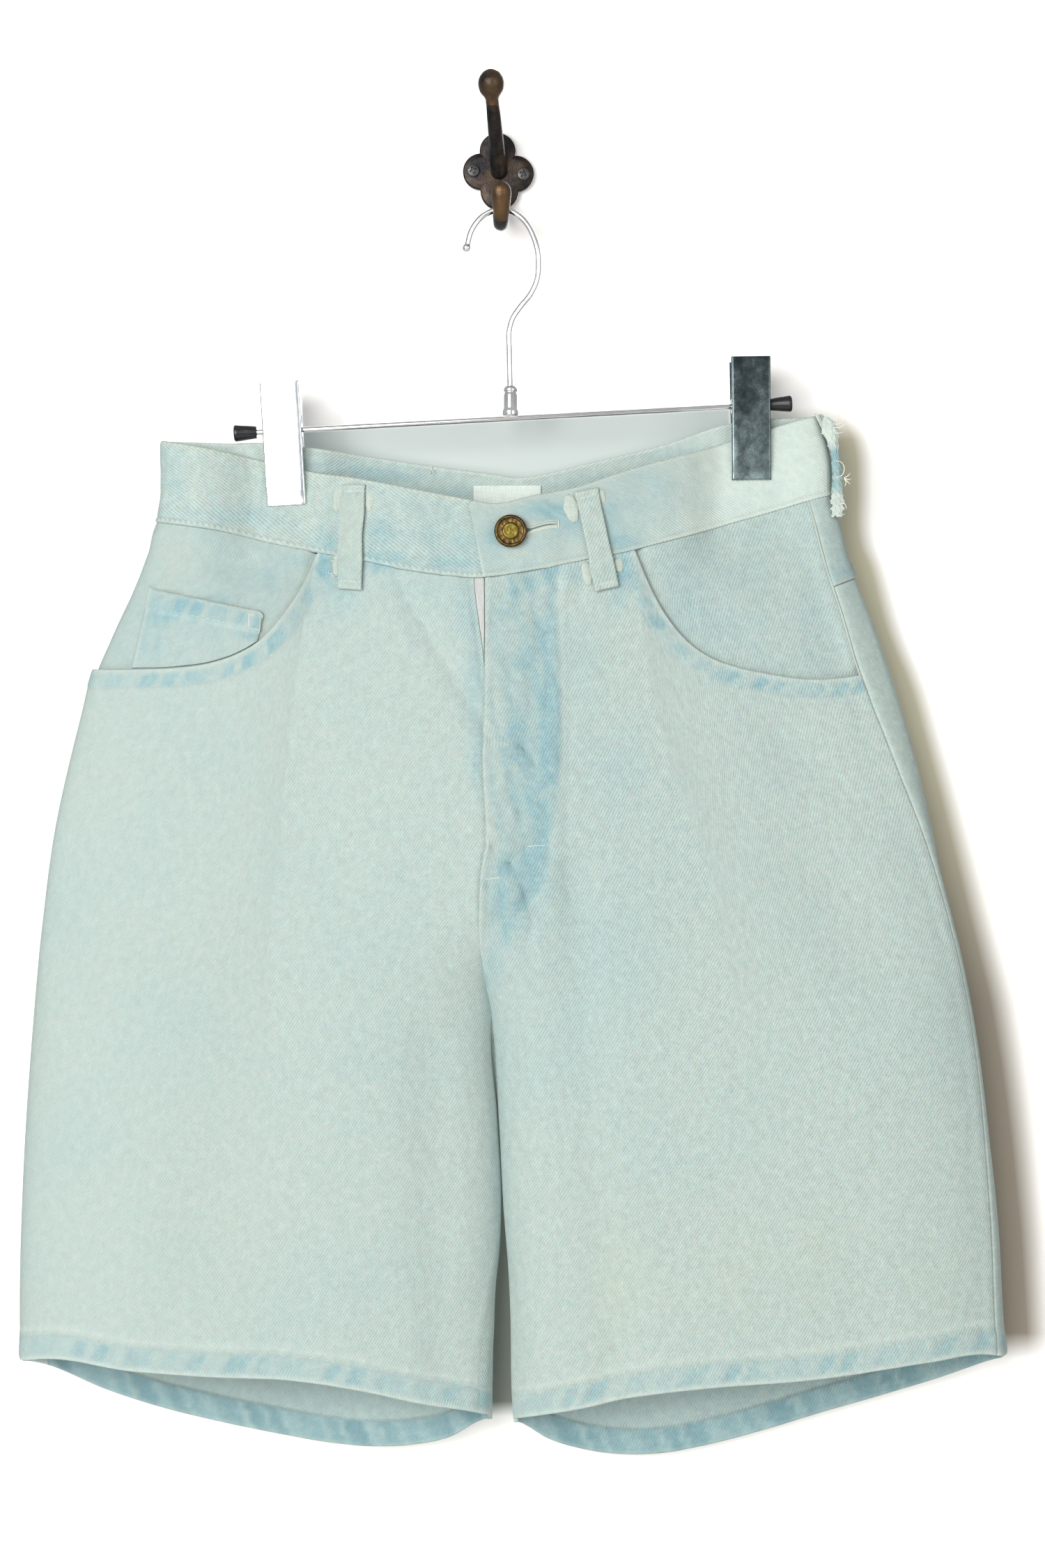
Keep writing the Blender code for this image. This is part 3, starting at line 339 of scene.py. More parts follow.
def patchy(along, pitch, seed):
    """1 in the hollows between a turned edge's slanted ridges, 0 on a ridge, uneven along it."""
    turn = 2 * math.pi * along / pitch
    wave = np.sin(turn + 1.2 * np.sin(turn / 2.7 + seed) + seed) + 0.35 * np.sin(1.9 * turn + 2.2 * seed)
    return ramp(-0.8, 0.3, wave) * (0.66 + 0.34 * np.sin(turn / 3.9 + 3 * seed))


# --- the surface of the shorts ---


def into_legs(z):
    """0 above the fly's foot, 1 where the legs are apart."""
    return ramp(FORK_Z, CROTCH_Z, z)


def across(side, face, phi, z, inner):
    """x on the base surface, and which face phi has come to."""
    facing = face * np.where(np.sin(phi) < -1e-9, -1, 1)
    outer_x = smooth(OUTER[side], z) - side * REACH
    legs = into_legs(z)
    inner_x = np.where(facing < 0, smooth(inner[FRONT], z), smooth(inner[BACK], z))
    inner_x += side * REACH * legs
    return outer_x + (inner_x - outer_x) * (1 - np.cos(phi)) / 2, facing


def pinch(x, z):
    """1 where a clip holds the two faces together, 0 away from it."""
    held = np.zeros_like(x)
    for clip_x, jaw_z in PINCHES:
        away = np.maximum(np.abs(x - clip_x) - PINCH_FLAT, 0) / PINCH_FALL
        held = np.maximum(held, np.exp(-(away**2)) * ramp(jaw_z - 75, jaw_z - 4, z))
    return held


def folds(face, x, z):
    """The creases and ridges of one face, outwards."""
    total = 0.25 * wander(x / 17, z / 23, face) + 0.12 * wander(z / 9, x / 7, 2 + face)
    for x0, z0, x1, z1, width, height in FOLDS[face] + CREASES[face]:
        along = np.array((x1 - x0, z1 - z0), float)
        t = np.clip(((x - x0) * along[0] + (z - z0) * along[1]) / (along @ along), 0, 1)
        away = np.hypot(x - x0 - t * along[0], z - z0 - t * along[1])
        total += height * np.exp(-((away / width) ** 2))
    return total


def base(side, face, phi, z, inner):
    x, facing = across(side, face, phi, z, inner)
    left, right = (smooth(OUTER[s], z) - s * REACH for s in (LEFT, RIGHT))
    place = np.clip((x - left) / (right - left), 0, 1)
    torso = np.sqrt(np.maximum(1 - np.abs(2 * place - 1) ** TORSO_FULL, 0))
    leg = np.sqrt(np.maximum(1 - np.abs(np.cos(phi)) ** LEG_FULL, 0))
    legs = into_legs(z)
    tall = np.where(facing < 0, smooth(BULGE, z, 1), smooth(BULGE, z, 2))
    lens = blend(torso, leg, legs)
    free = 1 - pinch(x, z)
    relief = np.where(facing < 0, folds(FRONT, x, z), folds(BACK, x, z))
    off = np.maximum(tall * lens * free + relief * np.minimum(1, lens * 2) * free, 0)
    apart = np.minimum(1, np.abs(np.sin(phi)) / 0.2)
    apart = np.where(np.abs(phi) > 1.5, blend(1.0, apart, legs), apart)
    return np.stack([x, MIDPLANE_Y + facing * (off + HALF_GAP * apart), z], axis=-1), facing


def surface(side, face, phi, z, out, inner):
    """Points of the shorts at a height out above the base surface."""
    phi, z = np.broadcast_arrays(np.asarray(phi, float), np.asarray(z, float))
    point, facing = base(side, face, phi, z, inner)
    d_phi, d_z = 0.03, 0.8
    before = np.maximum(phi - d_phi, -TURN_END)
    after = np.where(phi < math.pi + 1e-6, np.minimum(phi + d_phi, TURN_END), phi + d_phi)
    over = base(side, face, after, z, inner)[0] - base(side, face, before, z, inner)[0]
    up = base(side, face, phi, z + d_z, inner)[0] - base(side, face, phi, z - d_z, inner)[0]
    normal = np.cross(over, up) * (face * side)
    normal /= np.maximum(np.linalg.norm(normal, axis=-1, keepdims=True), 1e-9)
    point += normal * np.asarray(out, float)[..., None]
    limit = np.where(facing < 0, smooth(inner[FRONT], z), smooth(inner[BACK], z))
    if side == LEFT:
        point[..., 0] = np.minimum(point[..., 0], limit)
    else:
        point[..., 0] = np.maximum(point[..., 0], limit)
    return point


def phi_at(side, face, x, z, inner):
    """The angle phi of a point given by its x and z."""
    outer_x = smooth(OUTER[side], z) - side * REACH
    inner_x = smooth(inner[face], z) + side * REACH * into_legs(z)
    return np.arccos(np.clip(1 - 2 * (x - outer_x) / (inner_x - outer_x), -1, 1))


def on_face(side, face, x, z, out, inner=None):
    inner = inner or PANEL_INNER[side]
    return surface(side, face, phi_at(side, face, x, z, inner), z, out, inner)


def distance_to(route, x, z):
    """Distance of points from a route of x, z points, and how far along it the nearest one is."""
    best, along, run = np.full(np.shape(x), 1e9), np.zeros(np.shape(x)), 0.0
    for (x0, z0), (x1, z1) in zip(route, route[1:]):
        dx, dz = x1 - x0, z1 - z0
        long = math.hypot(dx, dz)
        t = np.clip(((x - x0) * dx + (z - z0) * dz) / long**2, 0, 1)
        away = np.hypot(x - x0 - t * dx, z - z0 - t * dz)
        along = np.where(away < best, run + t * long, along)
        best = np.minimum(best, away)
        run += long
    return best, along


def finer(rows, count=40):
    """A table's smooth curve as many points."""
    first = np.linspace(min(r[0] for r in rows), max(r[0] for r in rows), count)
    return list(zip(first, smooth(rows, first)))


MOUTH_ROUTE = {side: finer(POCKET_MOUTH[side]) for side in (LEFT, RIGHT)}


# --- materials ---


class Finish:
    """A material, with a Principled shader and nodes added one by one."""

    def __init__(self, name, **sockets):
        self.material = bpy.data.materials.new(name)
        self.material.use_nodes = True
        self.tree = self.material.node_tree
        self.shader = self.tree.nodes["Principled BSDF"]
        self.give(**sockets)

    def give(self, **sockets):
        """Sets or links the shader's own sockets."""
        for socket, value in sockets.items():
            self.put(self.shader.inputs[socket.replace("_", " ")], value)
        return self.material

    def put(self, socket, value):
        if isinstance(value, bpy.types.NodeSocket):
            self.tree.links.new(value, socket)
        else:
            socket.default_value = (*value, 1) if socket.type == "RGBA" else value

    def add(self, kind, sockets=(), **settings):
        made = self.tree.nodes.new("ShaderNode" + kind)
        for key, value in settings.items():
            setattr(made, key, value)
        for key, value in dict(sockets).items():
            self.put(made.inputs[key], value)
        return made

    def math(self, operation, a, b=0.0, clamp=False):
        return self.add("Math", {0: a, 1: b}, operation=operation, use_clamp=clamp).outputs[0]

    def plus(self, a, b, clamp=False):
        return self.math("ADD", a, b, clamp)

    def less(self, a, b):
        return self.math("SUBTRACT", a, b)

    def times(self, product, *others):
        for other in others:
            product = self.math("MULTIPLY", product, other)
        return product

    def total(self, *parts):
        """The sum of some values, each with its weight."""
        whole, *others = (self.times(value, weight) for value, weight in parts)
        for other in others:
            whole = self.plus(whole, other)
        return whole

    def span(self, value, from_low, from_high, low=0.0, high=1.0):
        sockets = {"Value": value, "From Min": from_low, "From Max": from_high, "To Min": low, "To Max": high}
        return self.add("MapRange", sockets).outputs["Result"]

    def mix(self, share, a, b, way="MIX"):
        made = self.add("Mix", data_type="RGBA", blend_type=way)
        for key, value in ((0, share), (6, a), (7, b)):
            self.put(made.inputs[key], value)
        return made.outputs[2]

    def noise(self, where, scale, detail=2.0, rough=0.5, warp=0.0):
        sockets = {"Vector": where, "Scale": scale, "Detail": detail, "Roughness": rough, "Distortion": warp}
        return self.add("TexNoise", sockets).outputs["Fac"]

    def mapped(self, where, scale=(1, 1, 1), turn=0.0):
        sockets = {"Vector": where, "Scale": scale, "Rotation": (0, 0, turn)}
        return self.add("Mapping", sockets).outputs[0]

    def relief(self, height, distance, strength=1.0, under=None):
        sockets = {"Height": height, "Distance": distance, "Strength": strength}
        if under:
            sockets["Normal"] = under
        return self.add("Bump", sockets).outputs[0]

    def attribute(self, name):
        return self.add("Attribute", attribute_name=name)

    def objects(self):
        return self.add("TexCoord").outputs["Object"]


TWILL_PITCH = 0.00134  # metres across one rib
TWILL_LEAN = math.radians(57)  # of the ribs, from the crosswise yarn


def denim(name, lean=TWILL_LEAN, rib=1.0, ribbed=0.50, dulled_and_shaded=(0.24, 0.26, 0.22)):
    """Bleached twill. Its grain attribute runs in metres. Its tone attribute holds how blue, how pale
    and how dull it is, and in the alpha how yellowed. Pale is worn, bleached cloth and, in places,
    painted light; dull is duller cloth and, in places, painted shade."""
    f = Finish(name, Roughness=0.92, Specular_IOR_Level=0.25, Sheen_Weight=0.08, Sheen_Roughness=0.5)
    grain = f.attribute("grain").outputs["Vector"]
    told = f.attribute("tone")
    tone = f.add("SeparateColor", {"Color": told.outputs["Color"]})
    turned_grain = f.mapped(grain, turn=math.pi / 2 - lean)
    ribs = f.add(
        "TexWave",
        {"Vector": turned_grain, "Scale": 0.31416 / TWILL_PITCH, "Distortion": 1.7, "Detail": 3.0,
         "Detail Scale": 0.6, "Detail Roughness": 0.75},
        wave_type="BANDS", bands_direction="X", wave_profile="SIN",
    ).outputs["Fac"]
    floats = f.noise(f.mapped(turned_grain, (1500, 560, 1)), 1.0, 1.0)
    slubs = f.noise(f.mapped(grain, (900, 70, 1)), 1.0, 2.0)
    picks = f.noise(f.mapped(grain, (60, 1100, 1)), 1.0, 1.0)
    cloud = f.noise(grain, 150.0, 3.0, 0.55, 0.2)
    fleck = f.noise(grain, 640.0, 2.0, 0.7)
    grit = f.noise(grain, 1900.0, 1.0, 0.6)
    broad = f.noise(grain, 14.0, 3.0, 0.5)
    blush = f.noise(f.mapped(grain, (150, 150, 1)), 1.0, 2.0, 0.5)
    weave = f.total((ribs, ribbed), (floats, 0.6), (slubs, 0.3), (picks, 0.12))
    specks = f.total((fleck, 0.55), (grit, 0.85))
    from_side = f.add("SeparateXYZ", {"Vector": grain}).outputs[0]
    # The weave shows more contrast towards the right: painted relief shading, as the light from the left
    # rakes that side.
    relief_shade_contrast = f.span(from_side, -0.2, 0.1, 0.62, 1.5)
    woven = f.less(f.plus(weave, specks), 1.40)
    show = f.plus(f.times(woven, relief_shade_contrast), 0.51, clamp=True)
    left = f.times(tone.outputs[0], f.span(cloud, 0.34, 0.64, 0.62, 1.3))
    blue = f.plus(left, f.span(broad, 0.42, 0.7, 0.0, 0.10), clamp=True)
    cloth = f.mix(show, f.mix(blue, *DEEP), f.mix(blue, *PALE))
    cloth = f.mix(f.span(blush, 0.52, 0.75, 0.0, 0.22), cloth, BLUSH)
    cloth = f.mix(f.times(told.outputs["Alpha"], 0.8), cloth, f.mix(show, *YELLOWED))
    # pale mixes towards worn, bleached cloth, and in places towards painted light
    cloth = f.mix(f.times(tone.outputs[1], 0.7), cloth, WORN_AND_LIT)
    # dull mixes towards a duller colour, and in places stands for painted shade
    cloth = f.mix(f.times(tone.outputs[2], 0.6), cloth, dulled_and_shaded)
    strength = f.span(from_side, -0.22, 0.05, 0.55, 1.0)

    def wave(turn, scale, much):
        off = f.less(f.noise(f.mapped(grain, turn=turn), scale, 4.0, 0.72), 0.5)
        return f.plus(f.times(off, much, strength), 1.0)

    uneven = wave(1.1, 210.0, 0.5)
    shifts = (wave(4.1, 260.0, 0.18), wave(2.3, 300.0, 0.30), wave(4.1, 260.0, -0.18))
    parts = [f.times(uneven, shift) for shift in shifts]
    mottled = f.add("CombineColor", dict(enumerate(parts))).outputs[0]
    f.give(Base_Color=f.mix(1.0, cloth, mottled, "MULTIPLY"))
    soft = f.relief(f.noise(grain, 260.0, 2.0), 0.0004, 0.35)
    return f.give(Normal=f.relief(weave, 0.00024 * rib, 0.75, soft))


def cotton(name, colour, threads=1500.0):
    """Plain woven cotton: tape and label."""
    f = Finish(name, Roughness=0.85, Specular_IOR_Level=0.3)
    grain = f.attribute("grain").outputs["Vector"]
    warp = f.noise(f.mapped(grain, (threads, 120, 1)), 1.0, 1.0)
    weft = f.noise(f.mapped(grain, (120, threads, 1)), 1.0, 1.0)
    weave = f.total((warp, 0.5), (weft, 0.5))
    stain = f.noise(grain, 60.0, 3.0)
    darker = tuple(v * 0.78 for v in colour)
    tint = f.mix(f.span(weave, 0.3, 0.7), darker, colour)
    f.give(Base_Color=f.mix(f.span(stain, 0.45, 0.8, 0, 0.5), tint, darker))
    return f.give(Normal=f.relief(weave, 0.0002, 0.6))


def thread(name, colour):
    """Sewing cotton, with its twist."""
    f = Finish(name, Roughness=0.7, Specular_IOR_Level=0.3)
    where = f.objects()
    twist = f.add(
        "TexWave", {"Vector": where, "Scale": 420.0, "Distortion": 2.0, "Detail": 1.0},
        wave_type="BANDS", bands_direction="DIAGONAL",
    ).outputs["Fac"]
    shade = f.noise(where, 90.0, 2.0)
    tint = f.mix(f.span(shade, 0.35, 0.7), tuple(v * 0.82 for v in colour), colour)
    f.give(Base_Color=f.mix(f.times(twist, 0.25), tint, (1.0, 1.0, 0.97)))
    return f.give(Normal=f.relief(twist, 0.0001, 0.5))


def chrome(name, clear, dull):
    """Plated steel: clear where polished, dull and dark where the plating has clouded."""
    f = Finish(name, Metallic=1.0)
    where = f.objects()
    clouds = f.noise(where, 75.0, 4.0, 0.62)
    specks = f.noise(where, 1300.0, 2.0, 0.7)
    worn = f.total((clouds, 0.8), (specks, 0.2))
    f.give(Base_Color=f.mix(f.span(worn, 0.42, 0.62), dull, clear))
    f.give(Roughness=f.span(worn, 0.3, 0.7, 0.16, 0.05))
    return f.give(Normal=f.relief(specks, 0.00003, 0.15))


def dark_reflection_chrome(name):
    """Clip chrome with a painted reflection of a dark room: dark blue-grey, paler towards its lower end, with
    the plating's own clouds and fine speckle.
    """
    f = Finish(name, Metallic=1.0)
    where = f.objects()
    height = f.add("SeparateXYZ", {"Vector": where}).outputs[2]
    clouds = f.noise(f.mapped(where, (1, 1, 0.8)), 120.0, 5.0, 0.7)
    specks = f.noise(where, 2000.0, 3.0, 0.8)
    # The clouds and speckle are the plating's own; the dark blue-grey they shade, paler lower down, is
    # painted reflection.
    worn = f.total((clouds, 0.68), (specks, 0.32))
    worn = f.plus(worn, f.span(height, -0.106, -0.170, -0.10, 0.12))
    f.give(Base_Color=f.mix(f.span(worn, 0.28, 0.82), (0.038, 0.050, 0.056), (0.24, 0.30, 0.30)))
    f.give(Roughness=f.span(worn, 0.35, 0.7, 0.12, 0.36))
    return f.give(Normal=f.relief(specks, 0.00003, 0.2))


def bronze(name, dark, rubbed):
    """Aged bronze: dark in the hollows, brassier where it is rubbed."""
    f = Finish(name, Metallic=1.0)
    where = f.objects()
    cloud = f.noise(where, 420.0, 4.0, 0.6)
    pits = f.noise(where, 2600.0, 2.0, 0.6)
    tint = f.mix(f.span(cloud, 0.35, 0.65), dark, rubbed)
    tint = f.mix(f.span(pits, 0.56, 0.7, 0, 0.6), tint, (0.03, 0.02, 0.012))
    f.give(Base_Color=tint)
    f.give(Roughness=f.span(cloud, 0.3, 0.7, 0.5, 0.32))
    return f.give(Normal=f.relief(pits, 0.00006, 0.5))


def iron(name, rubbed=0.0, dark=(0.010, 0.009, 0.010), light=(0.034, 0.026, 0.022)):
    """Cast iron under a dark bronzed lacquer, browner where hands have rubbed it."""
    f = Finish(name, Metallic=0.75, Specular_IOR_Level=0.5)
    where = f.objects()
    cast = f.noise(where, 900.0, 3.0, 0.6)
    cloud = f.noise(where, 120.0, 4.0, 0.6)
    rub = f.noise(where, 55.0, 3.0, 0.6)
    tint = f.mix(f.span(cloud, 0.35, 0.7), dark, light)
    tint = f.mix(f.span(rub, 0.50 - 0.25 * rubbed, 0.66, 0, 0.3 + 0.6 * rubbed), tint, (0.15, 0.085, 0.038))
    f.give(Base_Color=tint)
    f.give(Roughness=f.span(cast, 0.3, 0.7, 0.5, 0.28))
    return f.give(Normal=f.relief(cast, 0.00035, 0.55))


def black_plastic(name):
    f = Finish(name, Specular_IOR_Level=0.5)
    where = f.objects()
    grain = f.noise(where, 1600.0, 2.0)
    scuff = f.noise(f.mapped(where, (1, 1, 8)), 160.0, 3.0)
    scuffed = f.span(scuff, 0.55, 0.8, 0, 0.5)
    f.give(Base_Color=f.mix(scuffed, (0.008, 0.008, 0.009), (0.05, 0.05, 0.05)))
    f.give(Roughness=f.span(scuff, 0.4, 0.7, 0.22, 0.42))
    return f.give(Normal=f.relief(grain, 0.00004, 0.3))


def floor_paint(name):
    f = Finish(name, Roughness=0.8)
    where = f.objects()
    cloud = f.noise(where, 3.0, 4.0)
    f.give(Base_Color=f.mix(cloud, (0.76, 0.75, 0.73), (0.84, 0.83, 0.81)))
    return f.give(Normal=f.relief(f.noise(where, 120.0, 3.0), 0.001, 0.1))


PALE = ((0.408, 0.491, 0.458), (0.245, 0.405, 0.434))  # a rib: bleached out, and where blue is left
DEEP = ((0.288, 0.350, 0.327), (0.150, 0.262, 0.290))  # between the ribs, the same
YELLOWED = ((0.325, 0.380, 0.325), (0.430, 0.468, 0.388))
# The pale colour is worn, bleached cloth and, in places, painted light; the unbleached colour is the
# turned-up back hem's inside, in part painted shade.
WORN_AND_LIT, UNBLEACHED_AND_SHADED, BLUSH = (0.535, 0.60, 0.54), (0.13, 0.235, 0.26), (0.46, 0.45, 0.43)
FINISHES = {  # slot in the record, material
    "denim": ("bleached_denim_front", denim("bleached_denim")),
    "denim_back": ("bleached_denim_back", denim("bleached_denim_back", dulled_and_shaded=UNBLEACHED_AND_SHADED)),
    "band": ("waistband_denim", denim("waistband_denim", math.pi - math.radians(33), 1.3, 0.62)),
    "loop": ("waistband_denim", denim("belt_loop_denim", math.radians(56), 1.3, 0.58)),
    "tape": ("pale_tape", cotton("pale_tape", (0.50, 0.505, 0.485))),
    "label": ("label_cloth", cotton("label_cloth", (0.70, 0.77, 0.71))),
    "pad": ("pale_tape", cotton("worn_threads", (0.46, 0.52, 0.465), 700.0)),
    "thread": ("pale_tape", thread("white_thread", (0.56, 0.60, 0.55))),
    "tack": ("pale_tape", thread("cream_thread", (0.60, 0.62, 0.52))),
    "fray": ("pale_tape", thread("frayed_thread", (0.74, 0.76, 0.70))),
    "slit_shade": ("pale_tape", cotton("buttonhole_shade", (0.10, 0.13, 0.13))),
    "chrome": ("chrome", chrome("chrome", (0.90, 0.89, 0.87), (0.74, 0.71, 0.68))),
    "clip_bright": ("chrome", chrome("clip_chrome_bright", (0.90, 0.91, 0.92), (0.80, 0.81, 0.83))),
    # The right clip's dark plating is a painted reflection of a dark room.
    "clip": ("chrome", dark_reflection_chrome("clip_chrome_painted_reflection")),
    "bronze": ("aged_bronze", bronze("aged_bronze", (0.050, 0.030, 0.012), (0.135, 0.092, 0.034))),
    "gilt": ("aged_bronze", bronze("rubbed_bronze", (0.115, 0.085, 0.016), (0.19, 0.145, 0.030))),
    "iron": ("dark_iron", iron("dark_iron")),
    "knob": ("dark_iron", iron("rubbed_iron", 1.0)),
    "steel": ("dark_iron", iron("screw_steel", 0.0, (0.05, 0.05, 0.052), (0.13, 0.125, 0.12))),
    "black": ("black_cap", black_plastic("black_cap")),
}


# --- meshes ---


def put(name, data):
    made = bpy.data.objects.new(name, data)
    bpy.context.scene.collection.objects.link(made)
    return made


def show(name, mesh, finish, *nodes):
    """Puts a mesh in the scene on the root body, as the stand-in of CAD nodes where it has any."""
    slot, material = FINISHES[finish]
    mesh.materials.append(material)
    made = put(name, mesh)
    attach(made, "root")
    if nodes:
        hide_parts(*nodes)
    return made


def mesh_from(bm, name, angle=45):
    """The finished mesh of a form, facing outwards, with its edges sharp past an angle."""
    bmesh.ops.recalc_face_normals(bm, faces=bm.faces)
    mesh = bpy.data.meshes.new(name)
    bm.to_mesh(mesh)
    bm.free()
    mesh.shade_smooth()
    mesh.set_sharp_from_angle(angle=math.radians(angle))
    return mesh


def show_form(name, bm, finish, *nodes, angle=45):
    return show(name, mesh_from(bm, name, angle), finish, *nodes)


def join(whole, part):
    """Adds one form to another."""
    mesh = bpy.data.meshes.new("part")
    part.to_mesh(mesh)
    part.free()
    whole.from_mesh(mesh)
    bpy.data.meshes.remove(mesh)


def run_along(points):
    """Distance along each row of points from its first one."""
    steps = np.linalg.norm(np.diff(points, axis=-2), axis=-1)
    return np.concatenate([np.zeros((*steps.shape[:-1], 1)), np.cumsum(steps, axis=-1)], axis=-1)


def grain_of(points, start_x):
    """u, v in metres: u along each row from its first point, v the height."""
    way = np.sign(points[:, -1:, 0] - points[:, :1, 0])
    u = start_x + way * run_along(points)
    return np.stack([u * MM, points[..., 2] * MM, np.zeros_like(u)], axis=-1)


def toned(blue, pale=0.0, dull=0.0, yellow=0.0):
    parts = np.broadcast_arrays(blue, pale, dull, yellow)
    return np.stack([np.clip(part, 0, 1) for part in parts], axis=-1)


def cloth_mesh(name, low, high, tone=None, start_x=0.0):
    """A thin wall between two grids of points, with its grain in metres and its tone."""
    rows, columns = low.shape[:2]
    grain = grain_of(high, start_x)
    if tone is None:
        tone = toned(np.zeros((rows, columns)))
    bm = bmesh.new()
    grain_layer = bm.verts.layers.float_vector.new("grain")
    tone_layer = bm.verts.layers.float_color.new("tone")
    bmesh.ops.create_grid(bm, x_segments=columns - 1, y_segments=rows - 1, size=1)
    low_verts = list(bm.verts)
    made = bmesh.ops.extrude_face_region(bm, geom=bm.faces[:])
    high_verts = [v for v in made["geom"] if isinstance(v, bmesh.types.BMVert)]
    inside, outside = tone if tone.ndim == 4 else (tone, tone)
    for verts, grid, shade in ((low_verts, low * MM, inside), (high_verts, high * MM, outside)):
        for v in verts:
            column = round((v.co.x + 1) / 2 * (columns - 1))
            row = round((v.co.y + 1) / 2 * (rows - 1))
            v.co = grid[row, column]
            v[grain_layer] = grain[row, column]
            v[tone_layer] = shade[row, column]
    return mesh_from(bm, name, 60)


class Piece:
    """A stretch of the surface, between two lines of phi."""

    def __init__(self, side, face, phi_from, phi_to, inner=None):
        self.side, self.face = side, face
        self.phi_from, self.phi_to = phi_from, phi_to
        self.inner = inner or PANEL_INNER[side]
        self.columns = self.z = None

    def phi(self, column, z):
        return blend(self.phi_from(z), self.phi_to(z), column)

    def x(self, column, z):
        return across(self.side, self.face, self.phi(column, z), z, self.inner)

    def column_of(self, x, z):
        phi = phi_at(self.side, self.face, x, z, self.inner)
        start, end = self.phi_from(np.array(z, float)), self.phi_to(np.array(z, float))
        return (phi - start) / (end - start)

    def edge(self, line, drop=0.0):
        """The height at which each column crosses a level line."""
        z = np.full(len(self.columns), -400.0)
        for _ in range(40):
            x, facing = self.x(self.columns, z)
            z = blend(z, np.array(line(x, facing), float) - drop, 0.7)
        return z

    def spread(self, z, cell, edges=(0.4, 1.0, 1.8, 2.8)):
        """Spaces the columns evenly over the cloth at a height, closer at both ends."""
        c = shares(600)
        points = base(self.side, self.face, self.phi(c, z + 0 * c), z + 0 * c, self.inner)[0]
        run = run_along(points)
        count = max(int(run[-1] / cell), 3)
        at = np.linspace(0, run[-1], count + 1)
        inside = at[(at > edges[-1] + 0.5) & (at < run[-1] - edges[-1] - 0.5)]
        ends = np.array((0, *edges))
        self.columns = np.interp(np.concatenate([ends, inside, run[-1] - ends[::-1]]), run, c)

    def laid(self, z, out):
        """Takes the heights of the rows. Gives x and the face of each point, and its distances over
        the cloth from its row's two ends."""
        self.z = z
        x, facing = self.x(self.columns[None, :], z)
        run = run_along(self.at(out))
        return x, facing, run, run[:, -1:] - run

    def at(self, out):
        phi = self.phi(self.columns[None, :], self.z)
        return surface(self.side, self.face, phi, self.z, out, self.inner)

    def cut(self, node, finish, low, high, tone, start_x=0.0):
        """The cloth of this side, between two heights off the surface."""
        low, high = (self.at(out) for out in (low, high))
        cloth(f"{node}_{SIDE_WORD[self.side]}", finish, low, high, tone, self.side * start_x)


def rows_between(top, bottom, cell, near_top=(), near_bottom=()):
    """Heights from the top line to the bottom one, closer at both."""
    ends_top = np.array((0, *near_top), float)
    ends_low = np.array((*near_bottom[::-1], 0), float)
    start, stop = top - ends_top[-1], bottom + (ends_low[0] if len(ends_low) > 1 else 0)
    count = max(int(np.max(start - stop) / cell), 2)
    middle = [blend(start, stop, s) for s in np.linspace(0, 1, count + 1)[1:-1]]
    return np.array([top - d for d in ends_top] + middle + [bottom + d for d in ends_low])


def two_faced(table):
    return lambda x, facing: np.where(facing < 0, smooth(table[FRONT], x), smooth(table[BACK], x))


def seam_phi(side, own):
    return lambda z: own * smooth(SIDE_SEAM[side], z) + SEAM_PHI


def inner_phi(side, own):
    if side == LEFT:
        return lambda z: math.pi - own * smooth(INSEAM_TURN, z) - SEAM_PHI * into_legs(z)
    return lambda z: math.pi - SEAM_PHI * into_legs(z)


def panel(side, face):
    """A front or a back, from its side seam to its inner one."""
    return Piece(side, face, seam_phi(side, -face), inner_phi(side, -face))


def rounded(distance, radius):
    """How far an edge of that radius falls away, at a distance from it."""
    s = np.clip(1 - distance / radius, 0, 1)
    return radius * (1 - np.sqrt(np.maximum(1 - s * s, 0)))


# --- stitches ---


def evenly(route, outward, pitch, spare):
    """Points evenly spaced along a route, with the directions outwards there."""
    run = run_along(route)
    at = np.arange(spare + pitch / 2, run[-1] - spare, pitch)
    centres = np.stack([np.interp(at, run, route[:, k]) for k in range(3)], axis=1)
    share = np.linspace(0, len(route) - 1, len(centres))
    normals = np.stack([np.interp(share, np.arange(len(route)), outward[:, k]) for k in range(3)], axis=1)
    return centres, normals


class Sewing:
    """Stitches gathered into one mesh."""

    def __init__(self):
        self.whole = bmesh.new()

    def seam(self, side, face, x, z, out, inner=None, pitch=STITCH_PITCH, long=STITCH_LONG,
             radius=STITCH_R, spare=0.5):
        """A row of stitches on a face along a route, each laid flat on the cloth."""
        centres, normals = evenly(*surface_route(side, face, x, z, out, inner), pitch, spare)
        if len(centres) > 1:
            self.lay(centres, np.gradient(centres, axis=0), normals, long, radius)

    def lay(self, centres, ways, normals, long, radius):
        """One stitch at each centre, along its way and flat under its normal."""
        part = bmesh.new()
        for centre, way, normal in zip(centres, ways, normals):
            x_axis = Vector(way).normalized()
            z_axis = Vector(normal)
            z_axis = (z_axis - x_axis * z_axis.dot(x_axis)).normalized()
            turn = Matrix((x_axis, z_axis.cross(x_axis), z_axis)).transposed().to_4x4()
            size = Matrix.Diagonal((long / 2, radius, radius * 0.8, 1))
            place = Matrix.Translation(Vector(centre)) @ turn @ size
            bmesh.ops.create_uvsphere(
                part, u_segments=6, v_segments=4, radius=1,
                matrix=Matrix.Scale(MM, 4) @ place @ Matrix.Rotation(math.pi / 2, 4, "Y"),
            )
        join(self.whole, part)

    def finish(self, name, finish="thread"):
        return show_form(name, self.whole, finish, angle=180)


def surface_route(side, face, x, z, out, inner=None):
    """Points on a face along a route, with the directions outwards there."""
    points = on_face(side, face, x, z, out, inner)
    return points, on_face(side, face, x, z, out + 1.0, inner) - points


# --- forms and tones of the sewn edges ---


